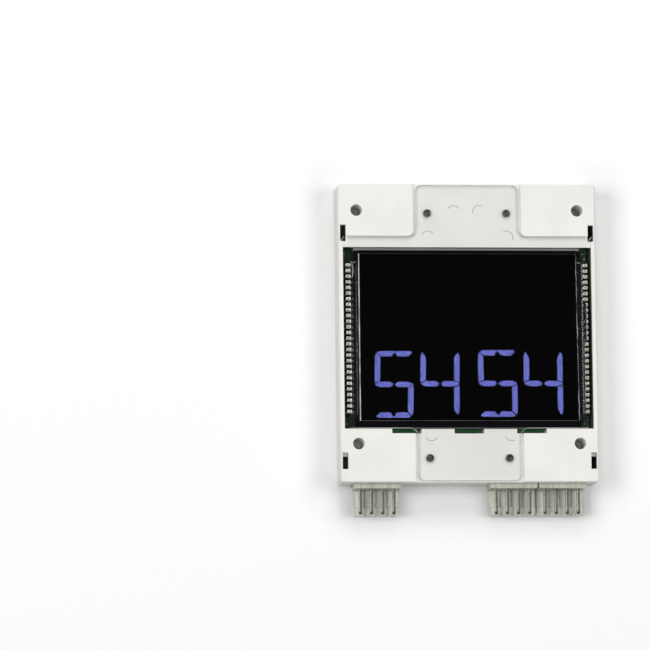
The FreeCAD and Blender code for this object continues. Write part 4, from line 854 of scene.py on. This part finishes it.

# table top: matt white laminate, which the camera sees as white, with a painted shadow: faintly grey close
# round the object
tableTop = {"size": 6000, "centre": (0, -2.15, 0), "half": (45.8, 53.0, 0), "near": 6, "far": 16,
            "paintedShadowWhite": 0.91, "white": 1.0, "unseen": 0.72}
half = tableTop["size"] * mm / 2
tableMesh = bpy.data.meshes.new("table")
tableMesh.from_pydata([(-half, -half, 0), (half, -half, 0), (half, half, 0), (-half, half, 0)], [],
                      [(0, 1, 2, 3)])
table = bpy.data.objects.new("table", tableMesh)
bpy.context.scene.collection.objects.link(table)
tableMaterial, tree = newTree("whiteLaminate")
rays = addNode(tree, "ShaderNodeLightPath")
seen = rays.outputs["Is Camera Ray"]
for ray in ("Is Glossy Ray", "Is Transmission Ray"):
    seen = addNode(tree, "ShaderNodeMath", {"operation": "MAXIMUM"},
                   {0: seen, 1: rays.outputs[ray]}).outputs["Value"]
past = addNode(tree, "ShaderNodeVectorMath", {"operation": "MAXIMUM", 1: (0, 0, 0)},
               {0: pastBox(tree, tableTop, False)})
away = addNode(tree, "ShaderNodeVectorMath", {"operation": "LENGTH"}, {0: past.outputs["Vector"]})
# painted shadow: grey close round the object's outline, turning white further out
white = addNode(tree, "ShaderNodeMapRange",
                {"From Min": tableTop["near"] * mm, "From Max": tableTop["far"] * mm,
                 "To Min": tableTop["paintedShadowWhite"], "To Max": tableTop["white"]},
                {"Value": away.outputs["Value"]})
shade = addNode(tree, "ShaderNodeMix", {"data_type": "FLOAT", 2: tableTop["unseen"]},
                {0: seen, 3: white.outputs["Result"]})
matt = addNode(tree, "ShaderNodeBsdfDiffuse", links={"Color": shade.outputs[0]})
addNode(tree, "ShaderNodeOutputMaterial", links={"Surface": matt.outputs["BSDF"]})
tableMesh.materials.append(tableMaterial)

# soft light: pale walls round a darker ceiling, and a softbox on each side
world = bpy.data.worlds.new("studio")
bpy.context.scene.world = world
world.use_nodes = True
tree = world.node_tree
tree.nodes.clear()
direction = addNode(tree, "ShaderNodeTexCoord").outputs["Generated"]
axes = addNode(tree, "ShaderNodeSeparateXYZ", links={0: direction})
level = addNode(tree, "ShaderNodeMapRange",
                {"From Min": 0.7, "From Max": 0.92, "To Min": 0.22, "To Max": 0.05},
                {"Value": axes.outputs["Z"]})
backdrop = addNode(tree, "ShaderNodeBackground", {"Color": (1, 1, 1, 1)},
                   {"Strength": level.outputs["Result"]})
addNode(tree, "ShaderNodeOutputWorld", links={"Surface": backdrop.outputs["Background"]})
softboxes = {
    "softboxLeft": {"place": (-1.2, 0.1, 1.45), "size": 0.8, "power": 12.5},
    "softboxRight": {"place": (1.05, 0.1, 1.6), "size": 0.8, "power": 10.5},
    "softboxBehind": {"place": (0.0, 1.5, 1.4), "size": 0.9, "power": 15.0},
    "softboxOverhead": {"place": (-0.42, -0.38, 2.4), "size": 0.6, "power": 6.8},
}
for name, box in softboxes.items():
    lamp = bpy.data.lights.new(name, "AREA")
    lamp.size = box["size"]
    lamp.energy = box["power"]
    holder = bpy.data.objects.new(name, lamp)
    bpy.context.scene.collection.objects.link(holder)
    holder.location = box["place"]
    holder.rotation_euler = (-Vector(box["place"])).to_track_quat("-Z", "Y").to_euler()

bpy.context.scene.view_settings.view_transform = "Standard"
print("camera, table and light set")
